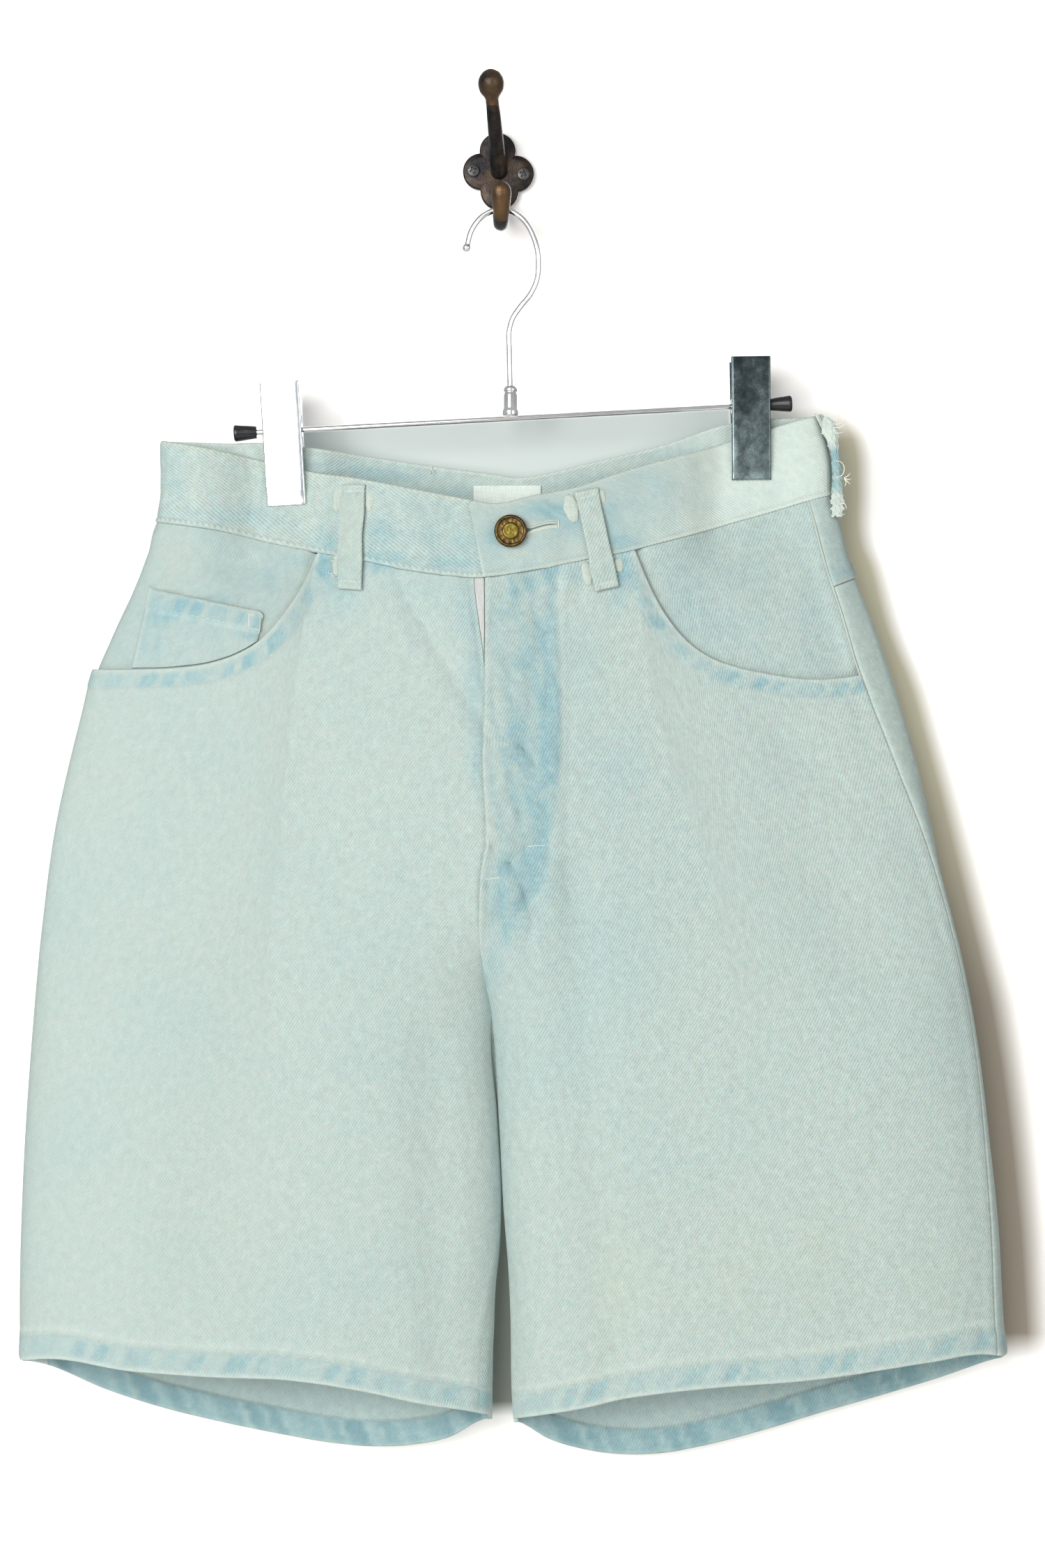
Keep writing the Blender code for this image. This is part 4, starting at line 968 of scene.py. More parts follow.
def hem_form(along, d, seed):
    """The turned hem, outwards: raised, drawn in under its stitching and roped across."""
    raised = 0.45 * ramp(15.4, 13.6, d)
    groove = -0.3 * bump_at(d, 13.2, 0.9)
    rope = 0.2 - 0.5 * patchy(along - 0.45 * d, HEM_PUCKER, seed)
    return raised + groove + rope * ramp(0.8, 4, d) * ramp(15.5, 10.5, d) - rounded(d, 1.2)


def hem_blue(along, d, seed):
    return patchy(along - 0.45 * d, HEM_PUCKER, seed) * ramp(2.4, 4.5, d) * ramp(13.2, 10.5, d)


def mouth_form(along, d, seed):
    """The turned edge of a pocket mouth."""
    raised = 0.4 * ramp(MOUTH_EDGE + 1.2, MOUTH_EDGE - 0.4, d)
    groove = -0.42 * bump_at(d, MOUTH_EDGE - 0.4, 0.9)
    rope = 0.18 - 0.42 * patchy(along + 0.5 * d, MOUTH_PUCKER, seed)
    return raised + groove + rope * ramp(0.8, 3, d) * ramp(12, 8, d) - rounded(d, 0.8)


def mouth_blue(along, d, seed):
    return patchy(along + 0.5 * d, MOUTH_PUCKER, seed) * ramp(1.8, 3.6, d) * ramp(10.6, 8.0, d)


# Where the bleach has left more blue, less where negative: x, z, half width, half height, how much
SPOTS = {
    FRONT: (
        (19, -300, 13, 75, 0.3), (9, -230, 5, 5, 0.55), (17.8, -226, 4, 4, 0.6), (5, -240, 5, 6, 0.5),
        (25, -255, 7, 10, 0.55), (12, -268, 4, 6, 0.5), (27, -281, 4, 8, 0.6), (9, -302, 5, 8, 0.5),
        (27, -298, 5, 12, 0.5), (10, -316, 7, 6, 0.55), (26.5, -321, 5, 14, 0.7),
        (12, -338, 8, 12, 0.35), (23, -350, 7, 10, 0.35), (3, -374, 5, 5, 0.7), (18, -379, 9, 14, 0.85),
        (24, -366, 4, 7, 0.45), (2, -391, 3.6, 11, 1), (5, -410, 2.4, 6, 0.7), (10, -401, 7, 10, 0.35),
        (-5.5, -440, 2.4, 12, 0.6), (-1, -424, 4, 12, 0.35), (-12, -280, 5, 30, 0.42),
        (-11, -322, 3, 14, 0.45), (-15, -240, 8, 14, 0.28), (-87.5, -219.5, 5, 8.5, 1),
        (-61, -217, 9, 4, 0.85), (-80, -234, 9, 8, 0.35), (-40, -228, 26, 6, 0.16),
        (28.5, -219, 6, 5, 0.65), (42, -222, 8, 5, 0.5), (66, -219, 4, 9, 0.85), (62, -232, 6, 10, 0.4),
        (46, -262, 10, 24, 0.16), (66, -322, 14, 18, 0.14), (140, -330, 24, 20, 0.08),
        (-148, -234, 9, 3.5, 0.35), (-108, -214, 9, 4, 0.3), (-122, -222, 12, 7, 0.22),
        (100, -238, 10, 10, 0.24), (118, -248, 14, 8, 0.24), (126, -222, 12, 9, 0.15),
        (94, -222, 7, 14, 0.18), (48, -420, 42, 95, 0.16), (-1, -500, 4, 40, 0.25),
        (1.5, -600, 4, 60, 0.3), (-2, -640, 5, 12, 0.3), (2, -560, 6, 70, 0.2),
    ),
    BACK: ((0, -430, 40, 40, 0.3), (-90, -330, 60, 60, 0.1), (100, -500, 60, 90, 0.1)),
}
# Where it has yellowed: the same columns
YELLOW_SPOTS = (
    (-140, -560, 20, 50, 0.35), (60, -590, 16, 42, 0.5), (112, -592, 40, 36, 0.45),
    (180, -580, 48, 42, 0.45), (232, -600, 22, 30, 0.35), (214, -525, 18, 50, 0.2),
    (30, -640, 30, 16, 0.2), (-172, -214, 16, 14, 0.35), (160, -214, 18, 14, 0.2),
)


def spots_at(rows, x, z):
    total = np.zeros(np.shape(x))
    for x0, z0, wide, high, much in rows:
        total += much * np.exp(-(((x - x0) / wide) ** 2) - ((z - z0) / high) ** 2)
    return total


def blue_at(facing, x, z):
    front, back = (spots_at(SPOTS[face], x, z) for face in (FRONT, BACK))
    return np.where(facing < 0, front, back)


def yellow_at(facing, x, z):
    uneven = 0.8 + 0.3 * wander(x / 9, z / 11, 7)
    return np.where(facing < 0, spots_at(YELLOW_SPOTS, x, z) * uneven, 0.1)


two_sided_hem = two_faced(HEM_LINE)
waist_seam = two_faced(WAIST_SEAM)


def yoke_seam(x, facing):
    return smooth(YOKE_SEAM, x)


def mouth_line(side, shift=0):
    """The pocket mouth as a level line, read that far further out."""
    rows = POCKET_MOUTH[side]
    return lambda x, facing: np.where(facing < 0, smooth(rows, x + side * shift), rows[-1][1])


def mouth_corner(piece):
    """The column at which a pocket mouth meets the waist seam."""
    return float(piece.column_of(POCKET_MOUTH[piece.side][0][0], -212.0))


def fly_inside(x, z):
    """1 within the fly's topstitch, 0 outside it."""
    line = smooth(J_LINE, z)
    return ramp(line + 0.8, line - 0.8, x) * ramp(-404.5, -403, z)


def front_form(side, x, z, facing):
    """How far a front stands above its layer, from its hem, pocket mouth and fly."""
    form = hem_form(x, z - two_sided_hem(x, facing), side)
    away, along = distance_to(MOUTH_ROUTE[side], x, z)
    form += np.where(facing < 0, mouth_form(along, away, side), 0)
    if side == RIGHT:
        line = smooth(J_LINE, z)
        in_reach = ramp(-410, -398, z) * (facing < 0)
        inside = fly_inside(x, z) * (facing < 0)
        form += FLY_RISE * inside + 0.46 * wander(x / 4.5, z / 6, 6) * inside
        form += 0.28 * wander(x / 2.1 - z / 9, z / 3.1, 3) * inside
        form -= 0.25 * bump_at(x, line - 1.6, 1.2) * in_reach
        form += 0.45 * bump_at(x, line + 1.8, 2.4) * in_reach
        form += 0.3 * pucker(z, 11.0, 1) * bump_at(x, line - 4, 4) * in_reach
    return form


def front_tone(side, x, z, facing):
    """How blue, pale, dull and yellow a front is."""
    d = z - two_sided_hem(x, facing)
    away, along = distance_to(MOUTH_ROUTE[side], x, z)
    away = np.where(facing < 0, away, 40.0)
    blue = blue_at(facing, x, z)
    turned = ramp(1.5, 4.0, d) * ramp(13.6, 11.5, d)
    blue += 0.48 * hem_blue(x, d, side) + 0.12 * ramp(15, 12, d) + 0.17 * turned
    blue += (0.80 if side == LEFT else 0.66) * mouth_blue(along, away, side)
    blue += 0.16 * ramp(2.0, 3.8, away) * ramp(11.0, 9.0, away)
    pale = 0.55 * ramp(2.6, 0.8, d) + 0.35 * ramp(2.0, 0.5, away)
    pale += 0.15 * (1 - patchy(x - 0.45 * d, HEM_PUCKER, side)) * ramp(1, 3, d) * ramp(13.5, 11, d)
    pale += 0.3 * bump_at(d, 16.6, 1.5) * (facing < 0)
    # dull along the hem's and the mouth's stitching grooves is painted shade in those grooves; over the
    # turned hem the cloth is duller.
    dull = 0.25 * bump_at(d, HEM_STITCH, 0.8) + 0.2 * bump_at(away, MOUTH_EDGE - 0.4, 0.8) + 0.12 * turned
    if side == RIGHT:
        line = smooth(J_LINE, z)
        in_reach = ramp(-404, -392, z) * (facing < 0)
        pale += 0.25 * bump_at(x, line + 2.2, 2.2) * in_reach
        blue += 0.26 * bump_at(x, line - 3.5, 4.0) * in_reach
        fly = fly_inside(x, z) * (facing < 0)
        blue += (0.18 + 0.24 * wander(x / 1.9 + z / 8, z / 2.6, 8)) * fly
        dull += 0.14 * fly + 0.07 * ramp(200, 60, x) * (facing < 0)
    return blue, pale, dull, yellow_at(facing, x, z)


def seam_form(d, height=0.55, wide=6.0):
    """The ridge of a seam's allowance, from the seam inwards, and the seam's own rounded edge."""
    return height * ramp(wide + 1.2, wide - 1.0, d) - rounded(d, 0.6)


# --- the cloth pieces ---

HEM_NEAR = (0.3, 0.8, 1.5, 2.5, 4, 5.5, 7, 8.5, 10, 11.2, 12.2, 12.9, 13.5, 14.2, 15, 16)
EDGE_NEAR = (0.35, 0.9, 1.6, 2.6, 4, 5.5, 7, 8.4, 9.4, 10.1, 10.9, 11.8)


def cloth(node, finish, low, high, tone=None, start_x=0.0):
    """One cloth piece in place of its solid."""
    name = f"{node}_cloth"
    show(name, cloth_mesh(name, low, high, tone, start_x), finish, node)


def add_front(side):
    piece = panel(side, FRONT)
    piece.spread(-400.0, CELL["front"])
    corner = mouth_corner(piece)
    close = corner + np.arange(-20, 4) * 0.0045
    piece.columns = np.unique(np.concatenate([piece.columns, close]))
    waist = piece.edge(waist_seam, drop=SEAM_HALF)
    top = np.minimum(piece.edge(mouth_line(side)), waist)
    bottom = piece.edge(two_sided_hem)
    z = rows_between(top, bottom, CELL["front"], EDGE_NEAR, HEM_NEAR)
    d = z - bottom
    x, facing, from_side, from_centre = piece.laid(z, PANEL[1])
    legs = into_legs(z)
    form = front_form(side, x, z, facing) + seam_form(from_side)
    if side == RIGHT:
        fly_edge = 0.4 * bump_at(from_centre, 1.7, 1.4) - 0.9 * rounded(from_centre, 0.9)
        fly_edge -= 0.2 * bump_at(from_centre, 4.2, 1.0)
        fly_edge += 0.12 * wander(z / 3, from_centre, 2)
        lifted = 0.8 * ramp(4.4, 3.2, from_centre) * (1 - legs)
        fly_edge += lifted * ramp(-398, -406, z)
    else:
        fly_edge = -0.75 * ramp(3.6, 2.2, from_centre)
        lifted = -0.3 * ramp(3.6, 2.2, from_centre) * (1 - legs)
    form += blend(fly_edge, seam_form(from_centre, 0.5, 5.0), legs)
    waist_away = np.where(piece.columns > corner, top - z, 9.0)
    form -= 0.2 * rounded(waist_away, 0.7)
    high = np.maximum(PANEL[1] + form, PANEL[0] + 0.35 + lifted)
    away, _ = distance_to(MOUTH_ROUTE[side], x, z)
    low = PANEL[0] + lifted - HEM_THICK * ramp(14.4, 13.2, d) + 0.7 * rounded(d, 1.1)
    low = np.minimum(low + 0.5 * rounded(np.where(facing < 0, away, 9.0), 1.0), high - 0.3)
    blue, pale, dull, yellow = front_tone(side, x, z, facing)
    pale += 0.3 * ramp(2.4, 0.8, from_side) + 0.12 * bump_at(from_side, 4.0, 2.0)
    # A painted shadow along the right side seam's pressed ridge.
    dull += 0.5 * bump_at(from_side, 2.3, 0.6) * (side == RIGHT) * ramp(-290, -265, z)
    blush = 0.34 * ramp(4.2, 2.8, from_centre) * (side == RIGHT) * (0.8 + 0.2 * wander(z / 7, 0, 3))
    tone = toned(blue * (1 - blush), pale + blush, dull, yellow)
    piece.cut("front", "denim", low, high, tone, 250.0)


def add_facing(side):
    piece = panel(side, FRONT)
    corner = mouth_corner(piece) + 0.03
    piece.spread(-240.0, 2.4)
    piece.columns = np.append(piece.columns[piece.columns < corner - 0.01], corner)
    top = piece.edge(waist_seam, drop=SEAM_HALF)
    bottom = np.minimum(piece.edge(mouth_line(side, 6), drop=FACING_BELOW), top - 16)
    z = rows_between(top, bottom, 2.2, (0.5, 1.2, 2.4), (0.5, 1.2))
    x, facing, from_side, _ = piece.laid(z, UNDER[1])
    away, _ = distance_to(MOUTH_ROUTE[side], x, z)
    shown = ramp(1.5, 6.0, away) * (z > smooth(POCKET_MOUTH[side], x))
    rise = 2.2 * np.maximum(ramp(16, 3, top - z), ramp(9, 2, from_side)) * shown
    ripple = np.minimum(0.25 * wander(x / 9, z / 12, 4 + side), 0.15)
    high = UNDER[1] + ripple + rise
    low = UNDER[0] + ripple + rise
    blue = blue_at(facing, x, z) + 0.07 + 0.10 * ramp(-0.1, 0.9, wander(x / 6, z / 5, 3 + side))
    # Painted shade on the facing: darker under the pocket mouth's edge, and a dark line along the coin
    # pocket's edge.
    dull = 0.06 + 0.35 * ramp(4, 0, away)
    if side == LEFT:
        dull += 0.9 * ramp(1.5, 0.3, distance_to(COIN_ROUTE, x, z)[0])
    tone = toned(blue, 0.0, dull, yellow_at(facing, x, z))
    piece.cut("facing", "denim", low, high, tone, 240.0)


def coin_grid(s, t):
    """x, z of the coin pocket at its own level and upright shares."""
    top_x, top_z = (blend(a, b, s) for a, b in zip(*COIN_TOP))
    foot_x = blend(*COIN_FOOT, s)
    foot_z = smooth(POCKET_MOUTH[LEFT], foot_x) + 0.9
    corner = np.maximum(s - 0.955, 0) / 0.045
    top_z -= 1.6 * corner**2
    return blend(top_x, foot_x, t), blend(top_z, foot_z, t)


COIN_SPOTS = (
    (-178, -243, 9, 5, 0.6), (-173, -241, 3, 4, 0.4), (-165, -235.6, 5, 3, 0.4),
    (-130, -254, 5, 2.5, 0.55), (-178.5, -258, 2, 9, 0.45), (-186, -256, 4, 12, 0.3),
    (-136, -244, 3, 3, 0.35), (-145, -252, 12, 6, 0.15),
)
COIN_ROUTE = (COIN_TOP[0], (COIN_TOP[1][0] - 1.6, COIN_TOP[1][1] + 0.4), (-122.7, -243), (-124.6, -256))


def add_coin_pocket():
    s, t = np.meshgrid(shares(46), shares(27) ** 1.05)
    x, z = coin_grid(s, t)
    tall = np.maximum(coin_grid(s, 0 * t)[1] - z, 0)
    to_left, to_right = s * COIN_WIDE, (1 - s) * COIN_WIDE
    patches = patchy(x + 0.4 * tall, 11.0, 2)
    hem = 0.35 * ramp(COIN_HEM + 0.8, COIN_HEM - 0.6, tall) - 0.3 * bump_at(tall, COIN_HEM - 0.6, 0.8)
    hem += (0.1 - 0.3 * patches) * ramp(0.5, 2.5, tall) * ramp(13, 9, tall)
    pleats = 0.22 * bump_at(x + 0.45 * z, -287, 2.5) + 0.2 * bump_at(x + 0.45 * z, -262, 3.0)
    edge = np.minimum(np.minimum(tall, to_right), to_left)
    high = COIN[1] + hem + pleats * ramp(COIN_HEM, 18, tall) - rounded(edge, 0.9)
    high += 0.35 * ramp(5, 3.6, to_right) + 0.3 * ramp(5, 3.6, to_left)
    low = COIN[0] + 0 * x
    near_mouth = distance_to(MOUTH_ROUTE[LEFT], x, z)[0]
    high = np.minimum(np.maximum(high, low + 0.3), blend(PANEL[0] - 0.1, 3.0, ramp(0.3, 1.2, near_mouth)))
    mottle = patches * ramp(COIN_HEM + 4, COIN_HEM, tall)
    blue = 0.10 + 0.8 * mottle * ramp(1, 3, tall) + spots_at(COIN_SPOTS, x, z)
    blue += 0.1 * ramp(0, 0.9, wander(x / 7, z / 8, 5))
    pale = 0.4 * ramp(1.8, 0.5, tall) + 0.45 * ramp(1.6, 0.4, to_right) + 0.6 * ramp(2.4, 0.6, to_left)
    pale += 0.35 * bump_at(tall, COIN_HEM + 0.6, 1.2)
    low, high = (on_face(LEFT, FRONT, x, z, v) for v in (low, high))
    cloth("coin_pocket", "denim", low, high, toned(blue, pale, 0.05), -190.0)


def add_back(side):
    piece = panel(side, BACK)
    piece.spread(-400.0, CELL["back"])
    top = piece.edge(yoke_seam, drop=SEAM_HALF)
    bottom = piece.edge(two_sided_hem)
    z = rows_between(top, bottom, CELL["back"], (0.5, 1.2, 2.2, 4, 6), HEM_NEAR)
    d = z - bottom
    x, facing, from_side, from_centre = piece.laid(z, PANEL[1])
    legs = into_legs(z)
    form = hem_form(x, d, 2 + side) + seam_form(from_side, 0.4, 5.0)
    form += blend(seam_form(from_centre, 0.6, 9.0), seam_form(from_centre, 0.5, 5.0), legs)
    form -= rounded(top - z, 0.6)
    high = np.maximum(PANEL[1] + form, PANEL[0] + 0.35)
    patches = patchy(x + 0.45 * d, 0.87 * HEM_PUCKER, 2 + side)
    inner_rope = (0.5 - 1.1 * patches) * ramp(0.8, 4, d) * ramp(15.5, 10.5, d)
    low = PANEL[0] - (HEM_THICK + inner_rope) * ramp(14.4, 13.2, d) + 0.7 * rounded(d, 1.1)
    low = np.minimum(low, high - 0.3)
    blue = blue_at(facing, x, z) + 0.6 * hem_blue(x, d, 2 + side) + 0.03
    turned_up = ramp(14.0, 12.6, d)
    inside = 0.40 + turned_up * (0.38 + 0.5 * patches * ramp(1.5, 4, d))
    pale = 0.5 * ramp(2.6, 0.8, d) + 0.3 * ramp(2.6, 0.8, from_side)
    pale_inside = turned_up * (0.24 * (1 - patches) * ramp(1, 3, d) + 0.5 * ramp(2.6, 0.9, d) - 0.2)
    # The turned-up hem's inside is dull: its unbleached blue, with painted shade, deepest in the hollows
    # between its ridges.
    unbleached_and_shade_inside = turned_up * (0.4 + 0.6 * patches)
    pale += 0.15 * ramp(50, 15, from_side) * (side == RIGHT)
    tone = np.stack([toned(inside, pale_inside + 0.2, unbleached_and_shade_inside, 0.05), toned(blue, pale, 0.0)])
    piece.cut("back", "denim_back", low, high, tone, 250.0)


def add_yoke(side):
    piece = panel(side, BACK)
    piece.spread(-230.0, CELL["back"])
    top = piece.edge(waist_seam, drop=SEAM_HALF)
    bottom = piece.edge(yoke_seam, drop=-SEAM_HALF)
    z = rows_between(top, bottom, CELL["back"], (0.5, 1.2), (0.4, 1.0, 1.8, 3, 5, 7, 8.5, 10))
    d = z - bottom
    x, facing, from_side, from_centre = piece.laid(z, PANEL[1])
    form = seam_form(d, 0.6, 9.0) + seam_form(from_side, 0.5, 6.0) + seam_form(from_centre, 0.6, 9.0)
    form += 0.5 * bump_at(d, 3.0, 2.5) * ramp(26, 8, from_side)
    high = np.maximum(PANEL[1] + form, PANEL[0] + 0.4)
    blue = blue_at(facing, x, z) + 0.04 + 0.35 * bump_at(d, 5, 3) * ramp(30, 10, from_side)
    cream = 0.5 * ramp(2.0, 0.6, d) + 0.3 * ramp(2.4, 0.8, from_side)
    # Painted shade on the right yoke towards its fold, which turns away from the light.
    dull = 0.1 * ramp(50, 15, from_side) * (side == RIGHT)
    piece.cut("yoke", "denim_back", PANEL[0], high, toned(blue, cream, dull), 240.0)


def band_lift(side, x, facing):
    """How far a half waistband moves out or in where its ends overlap under the button."""
    if side == LEFT:
        return -OVERLAP_LIFT * ramp(-50, -27, x) * (facing < 0)
    return OVERLAP_LIFT * ramp(38, 17, x) * (facing < 0)


def band_form(along, d_top, d_low, seed):
    """The waistband, outwards: a rolled top, and a narrow twisted ridge along its seam."""
    ridge = 0.28 * bump_at(d_low, 1.1, 0.9) * (0.9 + 0.1 * np.sin(2 * math.pi * (along + d_low) / 2.9))
    form = ridge - 0.3 * bump_at(d_low, 2.5, 0.6) - rounded(d_top, 1.5) - 0.8 * rounded(d_low, 0.7)
    form += 0.22 * pucker(along + 0.4 * d_low, BAND_PUCKER, seed) * bump_at(d_low, 7.0, 5.5)
    form += 0.18 * pucker(along - 0.3 * d_top, 0.8 * BAND_PUCKER, seed + 2) * bump_at(d_top, 8.0, 5.5)
    return form + 0.16 * wander(along / 6, d_top / 5, seed) * ramp(1, 3, d_low)


# Where the band keeps some blue: x, z, half width, half height, how much
BAND_SPOTS = (
    (26, -189, 12, 5, 0.45), (-2, -203, 5, 6, 0.4), (40, -196, 9, 7, 0.35), (37, -188, 7, 4, 0.35),
    (-88, -204, 10, 7, 0.45), (-62, -200, 8, 9, 0.4), (-82, -186, 6, 7, 0.25), (-60, -213, 14, 4, 0.5),
    (-24, -216, 14, 4, 0.35), (-16, -205, 7, 5, 0.25), (-34, -200, 12, 7, 0.15),
    (-140, -190, 24, 5, 0.25), (64, -205, 9, 6, 0.4), (60, -189, 5, 9, 0.3), (118, -186, 26, 6, 0.22),
    (92, -176, 16, 8, 0.12), (148, -178, 14, 6, 0.25), (-170, -170, 6, 16, 0.1),
)
INSIDE_SPOTS = (
    (-58, -166, 22, 5, 0.55), (-88, -162, 22, 4, 0.35), (-20, -175, 14, 5, 0.35),
    (48, -170, 22, 5, 0.3), (96, -158, 20, 6, 0.25),
)


def add_band(side):
    ends = (lambda z: 0 * z - BAND_TURN, lambda z: 0 * z + BAND_TURN)
    piece = Piece(side, FRONT, *ends, BAND_INNER[side])
    piece.spread(-185.0, CELL["band"])
    top = piece.edge(two_faced(WAIST_TOP))
    bottom = piece.edge(waist_seam, drop=-SEAM_HALF)
    if side == RIGHT:
        *_, from_end = piece.laid(top[None], BAND_THICK)
        top -= rounded(from_end[0], 5.0)
    near = (0.25, 0.6, 1.1, 1.8, 2.7, 3.4, 4.3)
    z = rows_between(top, bottom, CELL["band"], near, near)
    d_top, d_low = top - z, z - bottom
    x, facing, *ends_away = piece.laid(z, BAND_THICK)
    ends_away = np.minimum(*ends_away)
    form = band_form(x, d_top, d_low, side + 3) - 0.7 * rounded(ends_away, 1.2)
    lift = band_lift(side, x, facing)
    low = lift + 0.9 * rounded(np.minimum(d_top, d_low), 1.4) + 0.15 * bump_at(d_top, 3.4, 0.9)
    low += 0.12 * wander(x / 7, z / 6, side)
    high = np.maximum(BAND_THICK + lift + form, low + 0.4)
    blue = 0.10 * ramp(0.0, 0.9, -pucker(x + 0.4 * d_low, BAND_PUCKER, side + 3)) * ramp(2, 4, d_low)
    blue += np.where(facing < 0, 1.7 * spots_at(BAND_SPOTS, x, z), 0.08)
    blue += 0.16 * ramp(0.0, 0.9, wander(x / 13, z / 6, side + 5))
    edges = 0.42 * ramp(2.2, 0.6, d_top) + 0.26 * bump_at(d_low, 1.1, 1.0) + 0.4 * ramp(2.2, 0.8, ends_away)
    shade = 0.5 * bump_at(d_low, 2.7, 0.6) * (0.6 + 0.4 * wander(x / 5, 0, side))
    yellow = 0.35 * ramp(5.0, 0.8, d_top) + 0.12 * (side == LEFT)
    # Painted light: the right of the band's front, which turns away from the lamps, is made paler.
    edges += 0.95 * ramp(70, 110, x) * (facing < 0)
    # Painted light on the band's inside, which is pale all over.
    inside = toned(0.12 + 1.6 * spots_at(INSIDE_SPOTS, x, z), 0.42 + edges, 0.0, 0.0)
    tone = np.stack([inside, toned(blue, edges, shade, yellow)])
    piece.cut("waistband", "band", low, high, tone)


def add_fly_tape():
    x, share = np.meshgrid(np.linspace(*TAPE_X, 90), shares(50))
    z = blend(smooth(WAIST_SEAM[FRONT], x) - 0.12, TAPE_FOOT, share)
    gap = np.minimum(x - smooth(FLY_OPENS, z), smooth(FLY_EDGE, z) - x)
    shown = ramp(0.0, 0.35, gap)
    crease = 0.3 * bump_at(x + 0.25 * (z + 236), -9.5, 0.9) * shown
    out = (TAPE[0] + 1.1 * shown, TAPE[1] + 1.1 * shown + crease)
    low, high = (on_face(RIGHT, FRONT, x, z, v, PAST_CENTRE) for v in out)
    cloth("fly_tape", "tape", low, high)


def add_label():
    x, z = np.meshgrid(np.linspace(*LABEL_X, 30), np.linspace(*LABEL_Z, 24))
    curl = 0.25 * wander(x / 8, z / 9, 1)
    low, high = (on_face(RIGHT, BACK, x, z, v + np.minimum(curl, 0.2), PAST_CENTRE)
                 for v in (LINING[0] + 0.5, LINING[1]))
    cloth("label", "label", low, high)


def back_pocket_grid(side, s, t):
    """x, z of a back patch pocket at its own shares: s across, t down."""
    top_z, corner_z, point_z = BACK_POCKET_Z
    x = CENTRE_BACK[0][1] + side * BACK_POCKET_X + (s - 0.5) * blend(*BACK_POCKET_WIDE, t)
    foot_z = blend(point_z, corner_z, np.abs(2 * s - 1))
    return x, blend(top_z, foot_z, t) + side * BACK_POCKET_SLOPE * (0.5 - s)


def add_back_pocket(side):
    s, t = np.meshgrid(shares(60), shares(58))
    x, z = back_pocket_grid(side, s, t)
    wide, long = 125.0, 118.0
    tall = t * long
    edge = np.minimum(np.minimum(s, 1 - s) * wide, (1 - t) * long)
    form = 0.5 * ramp(13, 11, tall) - 0.35 * bump_at(tall, 11.4, 0.9) - rounded(np.minimum(tall, edge), 1.1)
    form += 0.25 * pucker(x, 11.0, side) * ramp(1, 3, tall) * ramp(14, 9, tall)
    form += 0.3 * ramp(9, 7, edge) + 0.2 * wander(x / 15, z / 12, side)
    cream = 0.6 * ramp(2.2, 0.8, np.minimum(tall, edge))
    blue = 0.1 + 0.3 * ramp(-0.3, 0.6, -pucker(x, 11.0, side)) * ramp(13, 9, tall)
    low = on_face(side, BACK, x, z, PATCH[0])
    high = on_face(side, BACK, x, z, np.maximum(PATCH[1] + form, PATCH[0] + 0.3))
    cloth(f"pocket_back_{SIDE_WORD[side]}", "denim_back", low, high, toned(blue, cream))


def loop_measures(row):
    """A belt loop's name, side, face, the inner lines it is placed by, and its length."""
    name, side, face, x0, z0, x1, z1 = row
    inner = BAND_INNER[side] if face == FRONT else PANEL_INNER[side]
    return name, side, face, inner, math.hypot(x1 - x0, z1 - z0)


def loop_place(row, s, t):
    """x, z and the height off the band of a belt loop; s across in mm, t down it."""
    x0, z0, x1, z1 = row[3:]
    x = blend(x0, x1, t) + s
    z = blend(z0, z1, t) + s * (x1 - x0) / (z0 - z1)
    return x, z, BAND_THICK + LOOP_OFF + LOOP_SLACK * np.sin(np.pi * t)


def loop_form(s, t, long):
    """A belt loop's outer face: folded edges and the dips where it is tacked down."""
    edge = LOOP_WIDE / 2 - np.abs(s)
    end = np.minimum(t, 1 - t) * long
    form = -rounded(edge, 0.8) - rounded(end, 0.9) - 0.3 * bump_at(end, 4.0, 1.1)
    return form + 0.16 * wander(s / 3, t * long / 5, 1)


def add_loop(row):
    name, side, face, inner, long = loop_measures(row)
    s, t = np.meshgrid(np.linspace(-0.5, 0.5, 25) * LOOP_WIDE, np.linspace(0, 1, int(long / 0.9)))
    wobble = 0.25 * wander(t * long / 6, 0, side) * np.sign(s) * ramp(3, 6, np.abs(s))
    x, z, off = loop_place(row, s + wobble, t)
    edge = LOOP_WIDE / 2 - np.abs(s)
    low = on_face(side, face, x, z, off + 0.6 * rounded(edge, 0.8), inner)
    high = on_face(side, face, x, z, off + LOOP_THICK + loop_form(s, t, long), inner)
    end = np.minimum(t, 1 - t) * long
    blue = 0.05 + 0.45 * bump_at(end, 4.6, 1.3) * (0.5 + 0.5 * wander(s / 1.5, t * 9, side))
    blue += 0.2 * bump_at(t, 0.82, 0.12)
    pale = 0.25 * ramp(1.4, 0.5, edge) + 0.3 * ramp(2.0, 0.8, end)
    cloth(name, "loop", low, high, toned(blue, pale, 0.06, 0.3), row[3])


def side_loop_place(s, t, out):
    """Points of the torn loop over the right side: s across in mm, t down it, out from its inside."""
    top_z, foot_z, stand = SIDE_LOOP
    z = blend(top_z, foot_z, t) + 0 * s
    wrap = SIDE_LOOP_WRAP * np.maximum(-2 * s / LOOP_WIDE, 0) ** 2
    fold = smooth(OUTER[RIGHT], z) - REACH - wrap
    seat = blend(BAND_THICK, PANEL[1], ramp(0.8, 1, t)) + LOOP_OFF
    off = seat + stand * np.sin(np.pi * blend(0.1, 1, t)) + out
    return np.stack([fold + off, MIDPLANE_Y + s, z], axis=-1)


